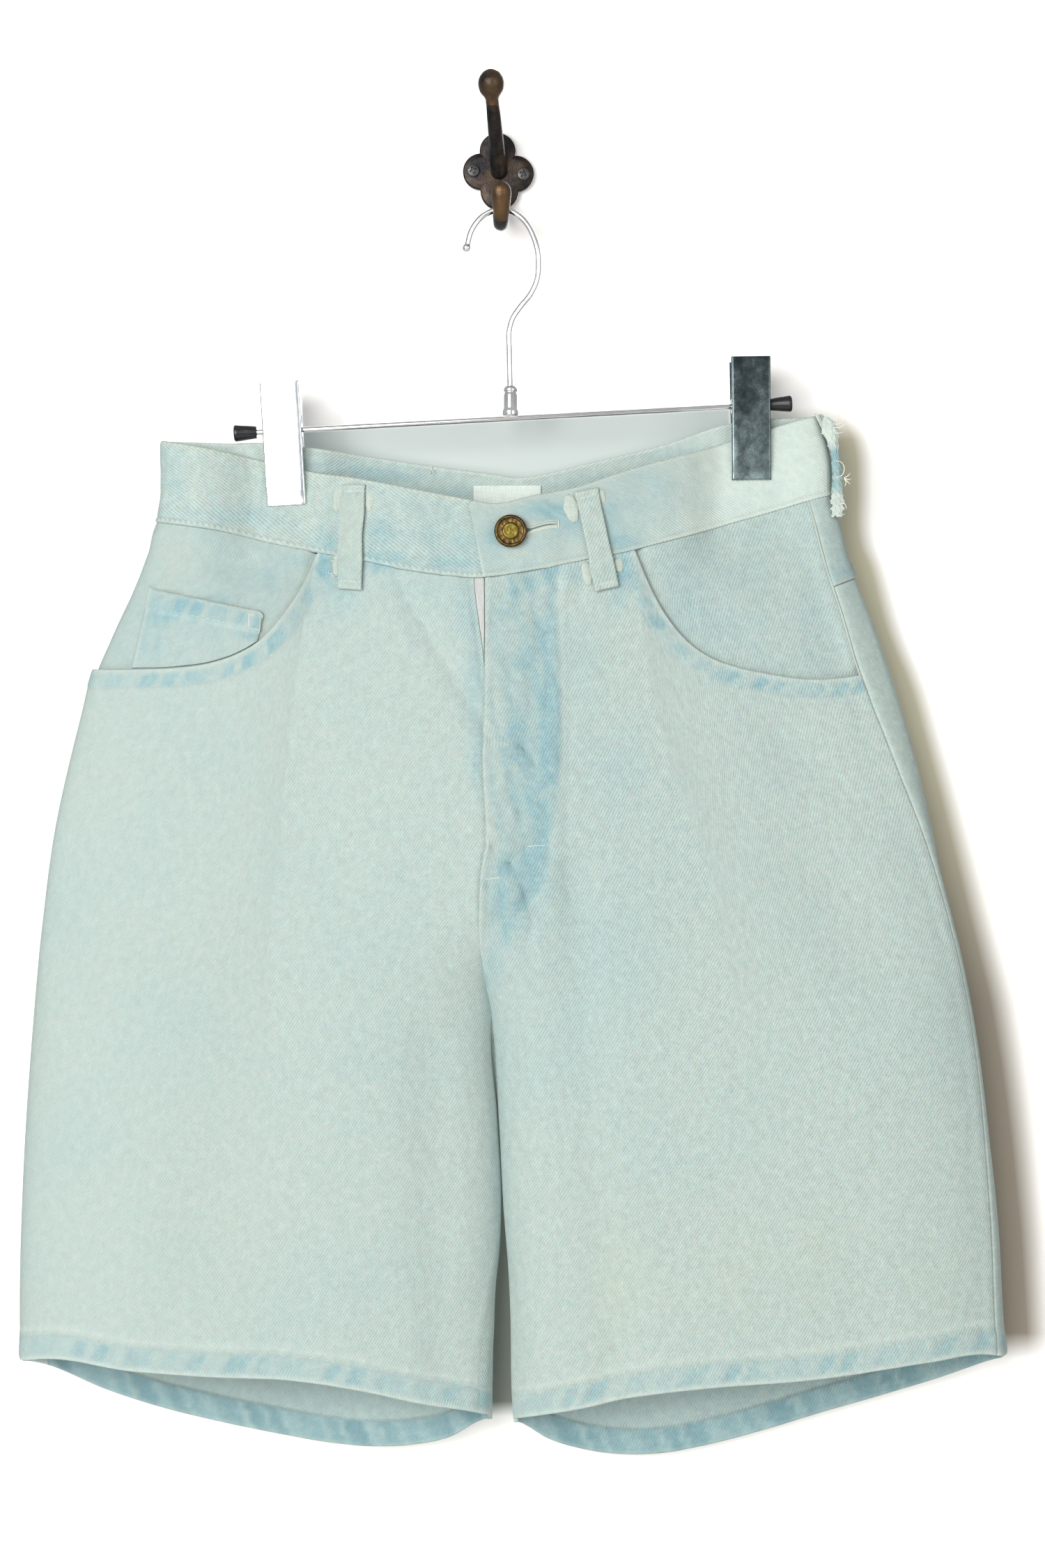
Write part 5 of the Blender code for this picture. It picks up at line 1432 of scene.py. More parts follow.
def add_side_loop():
    s, t = np.meshgrid(np.linspace(-0.5, 0.5, 33) * LOOP_WIDE, shares(84))
    long = SIDE_LOOP[0] - SIDE_LOOP[1]
    edge = LOOP_WIDE / 2 - np.abs(s)
    front = ramp(1.0, -5.5, s)
    ragged = (0.9 + 1.3 * wander(s * 0.9, 0.3, 4)) * ramp(0.12, 0, t)
    bite = 0.9 * wander(t * 13, 0, 5) * front
    crumple = 0.45 * wander(t * long / 3.0, s / 3, 2)
    roll = 1.3 * bump_at(t, 0.10, 0.09) + 0.9 * bump_at(t, 0.90, 0.07) - 0.5 * bump_at(t, 0.24, 0.05)
    low = side_loop_place(s, t + 0 * s, 0.6 * rounded(edge, 0.8) + np.minimum(crumple, 0.3))
    high = side_loop_place(s, t + 0 * s, LOOP_THICK + loop_form(s, t, long) + crumple + roll)
    for points in (low, high):
        points[..., 2] -= ragged
        points[..., 1] -= bite
    torn = ramp(0.16, 0.30, t) * ramp(0.84, 0.66, t)
    blue = 0.7 * torn + 0.12 * wander(t * 20, s, 2)
    pale = 1.0 * (1 - torn) + 0.3 * ramp(1.6, 0.5, edge) + 0.3 * np.maximum(wander(t * 31, s, 6), 0)
    cloth("loop_side_right", "loop", low, high, toned(blue, pale, 0.0, 0.35 * (1 - torn)))


# --- stitching ---


def sew_front(side):
    sew = Sewing()

    def row(x, z, lift, **how):
        sew.seam(side, FRONT, x, z, PANEL[1] + front_form(side, x, z, FRONT) + lift, **how)

    x = np.linspace(*((-249, -6) if side == LEFT else (6, 222)), 200)
    row(x, smooth(HEM_LINE[FRONT], x) + HEM_STITCH, -0.06, radius=0.13)
    route = np.array(MOUTH_ROUTE[side])
    shift = MOUTH_EDGE - 0.4
    way = np.gradient(route, axis=0)
    way /= np.linalg.norm(way, axis=1, keepdims=True)
    if way[-1, 0] * side < 0:
        way = -way
    x = route[:, 0] + shift * way[:, 1] * side
    z = route[:, 1] - shift * np.abs(way[:, 0])
    keep = (z < smooth(WAIST_SEAM[FRONT], x) - 2) & (np.abs(x) < np.abs(smooth(OUTER[side], z)) - 8)
    row(x[keep], z[keep], -0.08, radius=0.13)
    if side == RIGHT:
        s = shares(6)
        for x0, z0, x1, z1 in BARTACKS:
            row(blend(x0, x1, s), blend(z0, z1, s), 0.12, pitch=0.8, long=1.3, radius=0.24, spare=0)
    return sew.finish(f"front_{SIDE_WORD[side]}_stitching")


BARTACKS = ((16.9, -363.9, 25.1, -363.5), (-6.2, -380.4, 2.2, -380.0))


def sew_coin_pocket():
    sew = Sewing()

    def row(s, t, drop, lift, **how):
        x, z = coin_grid(s, t)
        sew.seam(LEFT, FRONT, x, z - drop, COIN[1] + lift, **how)

    s = np.linspace(0.03, 0.97, 60)
    row(s, 0 * s, COIN_HEM - 0.6, 0.1, radius=0.14)
    t = np.linspace(0.1, 0.9, 30)
    for share in (0.035, 0.965):
        row(0 * t + share, t, 0, 0.2, radius=0.14)
    turn = shares(9)
    box = ((0 * turn + 0.873, 3.2 + 7 * turn), (0.873 + 0.10 * turn, 0 * turn + 3.2),
           (0 * turn + 0.973, 3.2 + 7 * turn), (0.873 + 0.10 * turn, 0 * turn + 10.2))
    for s, drop in box:
        row(s, 0 * s, drop, 0.4, pitch=0.9, long=1.1, radius=0.26, spare=0)
    return sew.finish("coin_pocket_stitching")


# Where the stitching along the band's seam runs
BAND_STITCHED = {
    LEFT: {FRONT: (-174, -16), BACK: (-174, 8)},
    RIGHT: {FRONT: (-9, 171), BACK: (15, 171)},
}


def sew_band(side):
    """The stitching in the ditch along the band's seam."""
    sew = Sewing()
    for face in (FRONT, BACK):
        x = np.linspace(*BAND_STITCHED[side][face], 240)
        z = smooth(WAIST_SEAM[face], x) + 2.6
        out = BAND_THICK + band_lift(side, x, face) - 0.35
        sew.seam(side, face, x, z, out - 0.06, BAND_INNER[side], radius=0.13)
    return sew.finish(f"waistband_{SIDE_WORD[side]}_stitching")


def sew_back(side):
    sew = Sewing()
    x = np.linspace(8, 225, 200) * side
    out = PANEL[1] + hem_form(x, HEM_STITCH, 2 + side)
    sew.seam(side, BACK, x, smooth(HEM_LINE[BACK], x) + HEM_STITCH, out)
    out = PANEL[1] + 0.5
    x = CENTRE_BACK[0][1] + np.linspace(4, 165, 180) * side
    for rise in (2.2, 8.4):
        sew.seam(side, BACK, x, smooth(YOKE_SEAM, x) + rise, out)
    z = np.linspace(-290, -438, 70)
    for inset in (2.2, 8.2):
        sew.seam(side, BACK, smooth(PANEL_INNER[side][BACK], z) + side * inset, z, out)
    return sew.finish(f"back_{SIDE_WORD[side]}_stitching")


def sew_back_pocket(side):
    sew = Sewing()

    def row(s, t, drop=0.0, lift=0.0):
        x, z = back_pocket_grid(side, s, t)
        sew.seam(side, BACK, x, z - drop, PATCH[1] + 0.15 + lift)

    s = np.linspace(0.03, 0.97, 60)
    row(s, 0 * s, 11.4, 0.1)
    for share in (0.025, 0.075):
        t = np.linspace(0.02, 1 - share, 50)
        row(0 * t + share, t)
        row(0 * t + 1 - share, t)
        s = np.linspace(share, 1 - share, 60)
        row(s, 0 * s + 1 - share)
    return sew.finish(f"pocket_back_{SIDE_WORD[side]}_stitching")


def sew_loop(row):
    """The uneven tacking stitches across a belt loop's two ends."""
    name, side, face, inner, long = loop_measures(row)
    sew = Sewing()
    s = np.linspace(-3.9, 3.7, 10)
    lean = np.where(np.arange(10) % 2 == 0, 0.45, -0.25)
    ways = np.stack([lean, 0 * s, 1 + 0 * s], axis=1)
    for end in (3.8, long - 3.6):
        t = (end + 0.45 * np.sin(7.3 * s + end)) / long
        x, z, off = loop_place(row, s, t)
        out = off + LOOP_THICK + loop_form(s, t, long) + 0.05
        route, outward = surface_route(side, face, x, z, out, inner)
        sew.lay(route, ways, outward, 1.5, 0.24)
    return sew.finish(f"{name}_stitching")


# Threads that hang out of the torn loop: x, y, z of their points
TORN_THREADS = (
    ((176, -37, -141), (178.5, -38, -141.5), (181, -38, -141), (184, -37, -138.8)),
    ((177, -37, -140), (179, -38, -138.5), (180.5, -38, -136)),
    ((177, -37, -143), (180.5, -38, -143.2), (183, -38, -141.8), (185, -37, -142.3)),
    ((176, -36, -143), (179, -37, -146), (182.5, -37, -145.5)),
    ((178.5, -37, -160.5), (181.5, -38, -161.5), (183, -38, -164.5), (182, -38, -168), (178, -37, -170)),
    ((183, -36, -169.5), (185, -37, -168.5), (186.5, -36, -167)),
    ((183, -36, -169.5), (185.5, -37, -170.5), (187, -36, -170)),
    ((183, -36, -169.5), (184, -37, -172), (183.5, -36, -174)),
    ((183, -36, -169.5), (184.8, -37, -171.6), (186.5, -36, -173)),
    ((180, -36, -184), (183, -37, -183), (184.5, -36, -186)),
    ((178.5, -36, -187), (181, -37, -189.5), (183.5, -36, -188.5)),
)


# The torn loop's frayed front edge: x, y, z, half width
TORN_EDGE = (
    (173.6, -37.4, -137.4, 2), (174.8, -37.4, -140.5, 3.4), (175.8, -37.3, -145, 4.2),
    (177, -37.3, -150, 3.2), (178.2, -37.2, -155, 2.5), (179, -37.2, -162, 2.3),
    (179.5, -37.2, -170, 2.5), (179.6, -37.2, -177, 3), (179.7, -37.2, -184, 3.4),
    (179.4, -37.2, -190, 2.8),
)


def add_torn_threads():
    bm = bmesh.new()
    for points in TORN_THREADS:
        strand(bm, points, 0.22)
    threads = show_form("torn_loop_threads", bm, "fray", angle=180)
    rows = smooth_route(TORN_EDGE, 110)[:, :, None]
    u = np.linspace(-1, 1, 19)
    z = rows[:, 2] + 0.5 * wander(5 * u, 0, 2)
    ragged = 1 + 0.16 * wander(z / 0.9, 3 * np.sign(u), 1) + 0.1 * wander(z / 0.35, 2 * np.sign(u), 4)
    x = rows[:, 0] + u * rows[:, 3] * ragged
    y = rows[:, 1] + 1.3 * u**2 + 0.35 * wander(x / 0.8, z / 1.3, 3) + 0.2 * wander(x / 0.4, z / 0.7, 5)
    torn = ramp(-150, -156, z) * ramp(-180, -174, z)
    blue = 0.75 * torn + 0.25 * wander(x, z / 1.5, 2)
    pale = 0.9 * (1 - torn) + 0.25 * wander(z / 0.8, x / 0.7, 6)
    high = np.stack([x, y, z], axis=-1)
    low = np.stack([x, y + 0.7, z], axis=-1)
    tone = toned(blue, pale, 0.0, 0.4 * (1 - torn))
    return [threads, show("torn_loop_edge", cloth_mesh("torn_loop_edge", low, high, tone), "loop")]


def add_side_ridge():
    """The pressed edge of the right side seam."""
    z = np.linspace(-181.5, -628, 240)
    phi = seam_phi(RIGHT, 1)(z) + 0.010 + 0.003 * wander(z / 9, 0, 1)
    route = surface(RIGHT, FRONT, phi, z, PANEL[1] + 0.05, PANEL_INNER[RIGHT])
    radii = (0.28 + 0.3 * ramp(-300, -262, z)) * (1 + 0.2 * wander(z / 4, 0, 2))
    bm = bmesh.new()
    tube(bm, route, radii, 10)
    return show_form("side_seam_ridge", bm, "pad", angle=180)


# Patches of worn thread beside the loops: which hand, middle down from the loop's top or,
# where negative, up from its foot, width, height
PADS = {
    "loop_front_left": ((-1, 7.5, 6, 14), (1, 9, 4.2, 11), (-1, -13, 4.4, 12)),
    "loop_front_right": ((-1, 8, 7.5, 15), (1, 5, 3.6, 8), (-1, -10, 5.6, 13), (1, -11, 5.2, 7)),
}
PADS_ELSEWHERE = ((-1, 7, 4, 11), (1, 7, 4, 11), (-1, -9, 4, 9), (1, -9, 4, 9))


def worn_pads(row):
    """Flat ragged patches of worn thread at both sides of a loop, near its two ends."""
    name, side, face, inner, long = loop_measures(row)
    pads = Sewing()
    u, v = np.meshgrid(np.linspace(-1, 1, 13), np.linspace(-1, 1, 31))
    for k, (hand, middle, wide, tall) in enumerate(PADS.get(name, PADS_ELSEWHERE)):
        end = middle + (long if middle < 0 else 0)
        pointed = np.sqrt(np.maximum(1 - np.abs(v) ** 2.3, 0)) * (1 + 0.1 * wander(4 * v, 0, k + side))
        s = hand * (LOOP_WIDE / 2 - 0.5 + wide / 2) + u * wide / 2 * pointed
        t = (end + v * tall / 2 * (1 + 0.08 * wander(5 * u, 0, k))) / long
        x, z, _ = loop_place(row, s, t)
        seam = smooth(WAIST_SEAM[face], x)
        on_band = BAND_THICK + band_lift(side, x, face)
        seat = blend(PANEL[1] + 0.25, on_band, ramp(-1.0, 1.2, z - seam))
        full = (1 - u**4) * (1 - v**4)
        ribs = 0.12 * np.sin(4.2 * v * tall + 0.7 * np.sin(3 * u)) + 0.1 * wander(7 * u, 9 * v, k)
        low = on_face(side, face, x, z, seat - 0.1, inner)
        high = on_face(side, face, x, z, seat + 0.02 + (0.62 + ribs) * full, inner)
        mesh = cloth_mesh("part", low, high)
        pads.whole.from_mesh(mesh)
        bpy.data.meshes.remove(mesh)
    return pads.finish(f"{name}_pads", "pad")


def strand(bm, points, radius=0.17):
    """One loose thread through a few points, tapering to its ends."""
    route = smooth_route(points, 6 * len(points))
    share = np.linspace(0, 1, len(route))
    tube(bm, route, radius * (0.35 + 0.65 * np.sin(np.pi * np.clip(share, 0.02, 0.98)) ** 0.4), 6)


def loose_threads(name, side, face, places, out, inner, seed, long=4.0, count=5):
    """Small bunches of curled loose threads standing off a face at some places."""
    bm = bmesh.new()
    for k, (x0, z0) in enumerate(places):
        for j in range(count):
            turn = 2.4 * j + 1.7 * k + seed
            s = shares(7)
            reach = long * (0.7 + 0.3 * math.sin(3.1 * j + k))
            x = x0 + reach * s * math.cos(turn) + 0.5 * np.sin(5 * s + turn)
            z = z0 + reach * s * math.sin(turn) + 0.5 * np.cos(6 * s + j)
            lift = out + 0.25 + 0.6 * np.sin(np.pi * s) * (0.5 + 0.5 * math.sin(j + seed))
            strand(bm, on_face(side, face, x, z, lift, inner))
    return show_form(name, bm, "fray", angle=180)


# The buttonhole: where it runs, x, z
HOLE = ((13.0, -199.4), (17.0, -198.6), (22.0, -197.1), (26.8, -195.9), (31.5, -195.6))


def add_buttonhole():
    """The slit beside the button as a dark sheet of painted shade, its upper lip, and the short stitches of
    its lower one.
    """
    x = np.linspace(HOLE[0][0], HOLE[-1][0], 60)
    z = smooth(HOLE, x)
    out = BAND_THICK + band_lift(RIGHT, x, FRONT)
    inner = BAND_INNER[RIGHT]
    half = 1.3 * ramp(18.5, 14.0, x) + 0.20 * ramp(HOLE[-1][0] + 0.5, HOLE[-1][0] - 4, x) + 0.04
    u = np.linspace(-1, 1, 9)[:, None]
    low, high = (on_face(RIGHT, FRONT, x + 0 * u, z + u * half, out + lift, inner) for lift in (-0.3, 0.12))
    slit_shade = show("buttonhole_slit", cloth_mesh("buttonhole_slit", low, high), "slit_shade")
    bm = bmesh.new()
    for up, thick in ((0.7, 0.46), (1.7, 0.34)):
        lip = on_face(RIGHT, FRONT, x, z + half + up, out, inner)
        tube(bm, lip, thick * ramp(-0.5, 2, x - x[0]) * ramp(0.2, -2.5, x - x[-1]) + 0.1, 12)
    upper = show_form("buttonhole_lip", bm, "pad", angle=180)
    sew = Sewing()
    route, outward = surface_route(RIGHT, FRONT, x[2:], (z - half)[2:] - 1.05, out[2:] + 0.12, inner)
    centres, normals = evenly(route, outward, 0.62, 0.2)
    ways = np.array([(0.16 * math.sin(3.7 * k), 0, 1) for k in range(len(centres))])
    sew.lay(centres, ways, normals, 1.9, 0.24)
    ends = np.linspace(-1.7, 1.9, 6)
    sew.seam(RIGHT, FRONT, HOLE[-1][0] + 0.5 + 0 * ends, HOLE[-1][1] + ends, out[-1] + 0.2, inner,
             pitch=0.62, long=1.6, radius=0.34, spare=0)
    return [slit_shade, upper, sew.finish("buttonhole_stitches", "tack")]


# --- round pieces ---


def tube(bm, route, radii, sides=16):
    """A round tube of changing radius along a route of points, closed at both ends."""
    route = np.array(route, float)
    ways = np.gradient(route, axis=0)
    ways /= np.linalg.norm(ways, axis=1, keepdims=True)
    up = np.array((0.0, 1.0, 0.0)) if abs(ways[0][1]) < 0.9 else np.array((1.0, 0.0, 0.0))
    part = bmesh.new()
    bmesh.ops.create_grid(part, x_segments=sides, y_segments=len(route) - 1, size=1)
    verts = {}
    for v in part.verts:
        verts[round((v.co.y + 1) / 2 * (len(route) - 1)), round((v.co.x + 1) / 2 * sides)] = v
    for k, (place, way, radius) in enumerate(zip(route, ways, radii)):
        up -= way * (up @ way)
        up /= np.linalg.norm(up)
        over = np.cross(way, up)
        for j in range(sides + 1):
            turn = 2 * math.pi * (j % sides) / sides
            verts[k, j].co = Vector(place + radius * (math.cos(turn) * up + math.sin(turn) * over)) * MM
    bmesh.ops.remove_doubles(part, verts=part.verts, dist=1e-7)
    bmesh.ops.holes_fill(part, edges=[e for e in part.edges if e.is_boundary], sides=0)
    bmesh.ops.recalc_face_normals(part, faces=part.faces)
    join(bm, part)


def smooth_route(points, count):
    """Points evenly spread over a smooth curve through a route's own points."""
    points = np.array(points, float)
    along = run_along(points[:, :3])
    at = np.linspace(0, along[-1], count)
    rows = [tuple((a, *p)) for a, p in zip(along, points)]
    return np.stack([smooth(rows, at, k + 1) for k in range(points.shape[1])], axis=1)


def lathe(profile, segments=64):
    """A turned shape about z: radius, height rows, closed on its axis or as a ring."""
    bm = bmesh.new()
    verts = [bm.verts.new(Vector((r, 0, h)) * MM) for r, h in profile]
    pairs = [(a, b) for a, b in zip(verts, verts[1:]) if a.co.x > 0 or b.co.x > 0]
    edges = [bm.edges.new(pair) for pair in pairs]
    if profile[0][0] > 0:
        edges.append(bm.edges.new((verts[-1], verts[0])))
    bmesh.ops.spin(
        bm, geom=verts + edges, cent=(0, 0, 0), axis=(0, 0, 1), angle=2 * math.pi, steps=segments,
        use_merge=True,
    )
    bmesh.ops.remove_doubles(bm, verts=bm.verts, dist=1e-6)
    return bm


# Hanger, in its own frame: x along the bar, origin where the ferrule stands on it
HANGER_AT = (6.9, MIDPLANE_Y, -137.2)
HANGER_TILT = 3.08
BAR_R, BAR_FROM, BAR_TO = 1.4, -144.5, 147.0
CAP_LONG, CAP_R_IN, CAP_R_OUT = 12.0, 3.2, 4.4
CLIP_AT = {"left": -121.0, "right": 127.3}
CLIP_LEAN = {"left": 0.0, "right": 2.4}
CLIP_FINISH = {"left": "clip_bright", "right": "clip"}
CLIP_WIDE, LEAF_THICK = 20.0, 1.0
LEAF_LINE = ((-39.5, 3.8), (-36.5, 3.8), (-31.5, 4.9), (0, 7.2), (24.5, 9.4))  # z, inner face's distance
WIRE_R, BALL_R = 1.5, 2.2
WIRE_ROUTE = (  # x, z
    (-15.9, -44.4), (-14.3, -38.5), (-11.5, -33.5), (-7.5, -29.4), (-2.5, -27), (2.5, -26.2),
    (7.5, -27.2), (12, -30), (16, -34.5), (19.3, -41), (21.2, -48), (21.7, -55), (21, -63),
    (17.4, -71.2), (12.1, -77.8), (8, -84), (6.1, -91), (6.2, -100), (6.4, -110), (6.9, -131.5),
)
# Wall hook
PLATE_THICK, PLATE_RISE = 3.6, 0.9
LOBES = ((-0.2, 10.3, 9.7), (-9.2, -0.7, 9.7), (9.6, -1.9, 9.7), (0.8, -11.0, 10.3))  # x, z, radius
SCREWS_AT = ((-13.3, -0.7), (13.6, -2.6))
UPPER_HOOK = (  # x, y, z, radius
    (0.6, -1, -1, 4.6), (0.5, -4.5, -0.8, 4.6), (0.2, -8.5, 2, 4.4), (-0.4, -15, 8, 4.1),
    (-1.2, -23, 15.5, 3.9), (-2, -30, 23, 3.7), (-2.7, -34.5, 29, 3.5), (-2.9, -36, 31.2, 3.7),
    (-3, -37, 32.8, 4.9), (-3.1, -37.7, 34, 5.9), (-3.2, -38.8, 36, 6.7), (-3.3, -40, 38.2, 6.9),
    (-3.4, -41.2, 40.3, 6.4), (-3.5, -42.2, 42.2, 5.2), (-3.6, -43, 43.7, 3.3),
    (-3.6, -43.4, 44.4, 1.4),
)
LOWER_HOOK = (
    (0.6, -1, -14.5, 4.2), (0.7, -4.2, -15.2, 4.2), (1, -7.6, -19.5, 4.1), (1.3, -11.5, -26.4, 4),
    (1.6, -17.5, -31, 4), (1.8, -25, -32.6, 4.1), (1.9, -31.5, -31.4, 4.2), (2, -36.6, -27.6, 4.5),
    (2, -39.2, -23.2, 5), (2, -40.6, -19.6, 5.3), (1.9, -41.6, -16.6, 4.6), (1.9, -42.2, -14.8, 3),
    (1.9, -42.5, -14, 1.3),
)
BUTTON_OFF = 0.4
BUTTON_FACE = (  # radius, height: a rolled rim round a dished ring and a raised middle
    (0, 0), (3.4, 0), (3.4, 1.6), (7.4, 1.6), (8.1, 1.8), (8.45, 2.3), (8.55, 2.9), (8.4, 3.5),
    (8.05, 3.95), (7.6, 4.12), (7.1, 4.05), (6.75, 3.8), (6.55, 3.5), (6.1, 3.42), (5.2, 3.42),
    (4.5, 3.45), (4.25, 3.6), (4.1, 3.85), (3.85, 4), (3.4, 4.05), (2.6, 4), (1.6, 3.95), (0.8, 3.98),
    (0, 4),
)


def hanger_place(x=0.0, y=0.0, z=0.0):
    """From a place on the hanger to the world."""
    tilt = Matrix.Rotation(-math.radians(HANGER_TILT), 4, "Y")
    return Matrix.Translation(Vector(HANGER_AT) * MM) @ tilt @ Matrix.Translation(Vector((x, y, z)) * MM)


def placed(bm, *matrices):
    for matrix in matrices:
        bmesh.ops.transform(bm, matrix=matrix, verts=bm.verts)
    return bm


def second_finish(made, finish, faces):
    """Gives some of an object's faces a second material."""
    made.data.materials.append(FINISHES[finish][1])
    for index in faces:
        made.data.polygons[index].material_index = 1
    return made


def add_button():
    seat = np.array(BAND_THICK + OVERLAP_LIFT + BUTTON_OFF)
    centre = on_face(RIGHT, FRONT, *(np.array(v) for v in BUTTON_AT), seat, BAND_INNER[RIGHT])
    bm = lathe(BUTTON_FACE, 96)
    bmesh.ops.subdivide_edges(bm, edges=[e for e in bm.edges if e.calc_length() > 0.5 * MM], cuts=1,
                              use_grid_fill=True)
    for v in bm.verts:
        radius = math.hypot(v.co.x, v.co.y) / MM
        turn = math.atan2(v.co.y, v.co.x)
        if v.co.z > 3.0 * MM and 4.6 < radius < 6.5:
            leaf = math.sin(13 * turn + 1.2 * math.sin(5 * turn)) * math.sin((radius - 4.6) / 1.9 * math.pi)
            v.co.z += 0.09 * leaf * MM
        elif v.co.z > 3.0 * MM and radius < 3.6:
            v.co.z += 0.08 * math.sin(3 * turn + 1.5 * radius) * math.sin(1.9 * radius) * MM
    middle = {f.index for f in bm.faces if f.calc_center_median().z > 3.4 * MM
              and math.hypot(*f.calc_center_median()[:2]) < 4.2 * MM}
    turn = Matrix.Rotation(math.pi / 2, 4, "X")
    placed(bm, turn, Matrix.Translation(Vector(centre) * MM))
    made = show_form("button_metal", bm, "bronze", "button", angle=35)
    return second_finish(made, "gilt", middle)


def add_clip_face(word, centre):
    """The polished sheet over a clip's front leaf, its edges rolled back round it."""
    flat, roll, thick = CLIP_WIDE / 2 - 0.65, 1.0, 0.25
    bend = np.linspace(0, math.pi / 2, 7)
    half_x = [flat + roll * math.sin(a) for a in bend] + [flat + roll]
    half_y = [roll * (math.cos(a) - 1) for a in bend] + [-roll - 0.5]
    across_x = np.array([-v for v in half_x[::-1]] + list(np.linspace(-flat, flat, 9)[1:-1]) + half_x)
    across_y = np.array(half_y[::-1] + [0.0] * 7 + half_y)
    line = np.array(LEAF_LINE)
    foot, head, near = line[0, 0] - 0.3, line[-1, 0] + 0.3, np.array((0.1, 0.25, 0.5, 0.8))
    z = np.unique(np.concatenate([np.linspace(foot, head, 60), foot + near, head - near]))[:, None]
    front = np.interp(z, line[:, 0], line[:, 1]) + LEAF_THICK + 0.32
    ends = np.minimum(z - z[0], z[-1] - z)
    points = []
    for inset in (thick, 0.0):
        x = across_x * (1 - inset / (flat + roll)) + 0 * z
        y = front - inset + across_y - 0.6 * rounded(ends, 0.8) * (inset == 0)
        points.append(np.stack([centre + x, -y, z + 0 * x], axis=-1))
    name = f"clip_face_{word}"
    mesh = cloth_mesh(name, *points)
    there = Matrix.Translation(Vector((centre, 0, 0)) * MM)
    lean = there @ Matrix.Rotation(math.radians(CLIP_LEAN[word]), 4, "Y") @ there.inverted()
    mesh.transform(hanger_place() @ lean)
    show(name, mesh, CLIP_FINISH[word])


def add_hanger():
    bm = bmesh.new()
    tube(bm, [(x, 0, 0) for x in np.linspace(BAR_FROM, BAR_TO, 60)], [BAR_R] * 60, 32)
    show_form("hanger_rod", placed(bm, hanger_place()), "chrome", "hanger_bar")
    bore = BAR_R + GAP
    cap = (
        (bore, 2.5 - CAP_LONG), (CAP_R_IN - 0.25, 2.5 - CAP_LONG), (CAP_R_IN, 2.75 - CAP_LONG),
        (CAP_R_IN + 0.06, 3.2 - CAP_LONG), (CAP_R_OUT - 0.1, 0.6), (CAP_R_OUT, 1.2),
        (CAP_R_OUT - 0.06, 1.8), (CAP_R_OUT - 0.35, 2.3), (CAP_R_OUT - 0.9, 2.56), (1.4, 2.6),
        (0, 2.6), (0, GAP), (bore, GAP),
    )
    for word, end, way in (("left", BAR_FROM, -1), ("right", BAR_TO, 1)):
        bm = placed(lathe(cap, 48), Matrix.Rotation(way * math.pi / 2, 4, "Y"), hanger_place(end))
        show_form(f"end_cap_{word}", bm, "black", f"cap_{word}", angle=50)
    for word, centre in CLIP_AT.items():
        bm = bmesh.new()
        turns = np.linspace(0, 2 * math.pi * 6.5, 210)
        radius, wire = 2.45, 0.6
        coil = [(centre - 5.5 + 11.0 * k / 209, radius * math.cos(a), radius * math.sin(a))
                for k, a in enumerate(turns)]
        tube(bm, coil, [wire] * len(coil), 8)
        show_form(f"spring_coil_{word}", placed(bm, hanger_place()), "chrome", f"clip_{word}_spring")
        add_clip_face(word, centre)
    bore, seat = WIRE_R + GAP, BAR_R + GAP
    ferrule = (
        (bore, 3.2), (bore, 17.3), (2.35, 17.3), (2.6, 17.2), (2.9, 16.8), (3.45, 16.2), (3.6, 15.7),
        (3.66, 14.9), (3.55, 14.4), (3.2, 14.1), (3.2, 13.4), (3.45, 13.1), (3.6, 12.6), (3.62, 5.6),
        (3.8, 4.9), (4.15, 4.4), (4.3, 3.8), (4.3, seat + 0.3), (4.1, seat), (0, seat), (0, 3.2),
    )
    bm = placed(lathe(ferrule, 56), Matrix.Translation(Vector(HANGER_AT) * MM))
    show_form("ferrule_turned", bm, "chrome", "hanger_ferrule", angle=40)
    points = smooth_route([(x, MIDPLANE_Y, z) for x, z in WIRE_ROUTE], 150)
    out = (points[0] - points[1]) / np.linalg.norm(points[0] - points[1])
    turns = np.radians(np.linspace(176, 46, 16))
    route = [points[0] + out * BALL_R * (1 - math.cos(a)) for a in turns] + list(points)
    radii = [BALL_R * math.sin(a) for a in turns] + [WIRE_R] * len(points)
    bm = bmesh.new()
    tube(bm, route, radii, 24)
    show_form("hook_wire", bm, "chrome", "hanger_hook")


def plate_outline(count=160):
    """The four-lobed outline: the furthest lobe in each direction."""
    outline = []
    for a in np.arange(count) * 2 * math.pi / count:
        way = np.array((math.cos(a), math.sin(a)))
        far = 0.0
        for x, z, r in LOBES:
            ahead = way @ (x, z)
            inside = r * r - (x * x + z * z - ahead**2)
            if inside > 0:
                far = max(far, ahead + math.sqrt(inside))
        outline.append(way * far)
    return outline


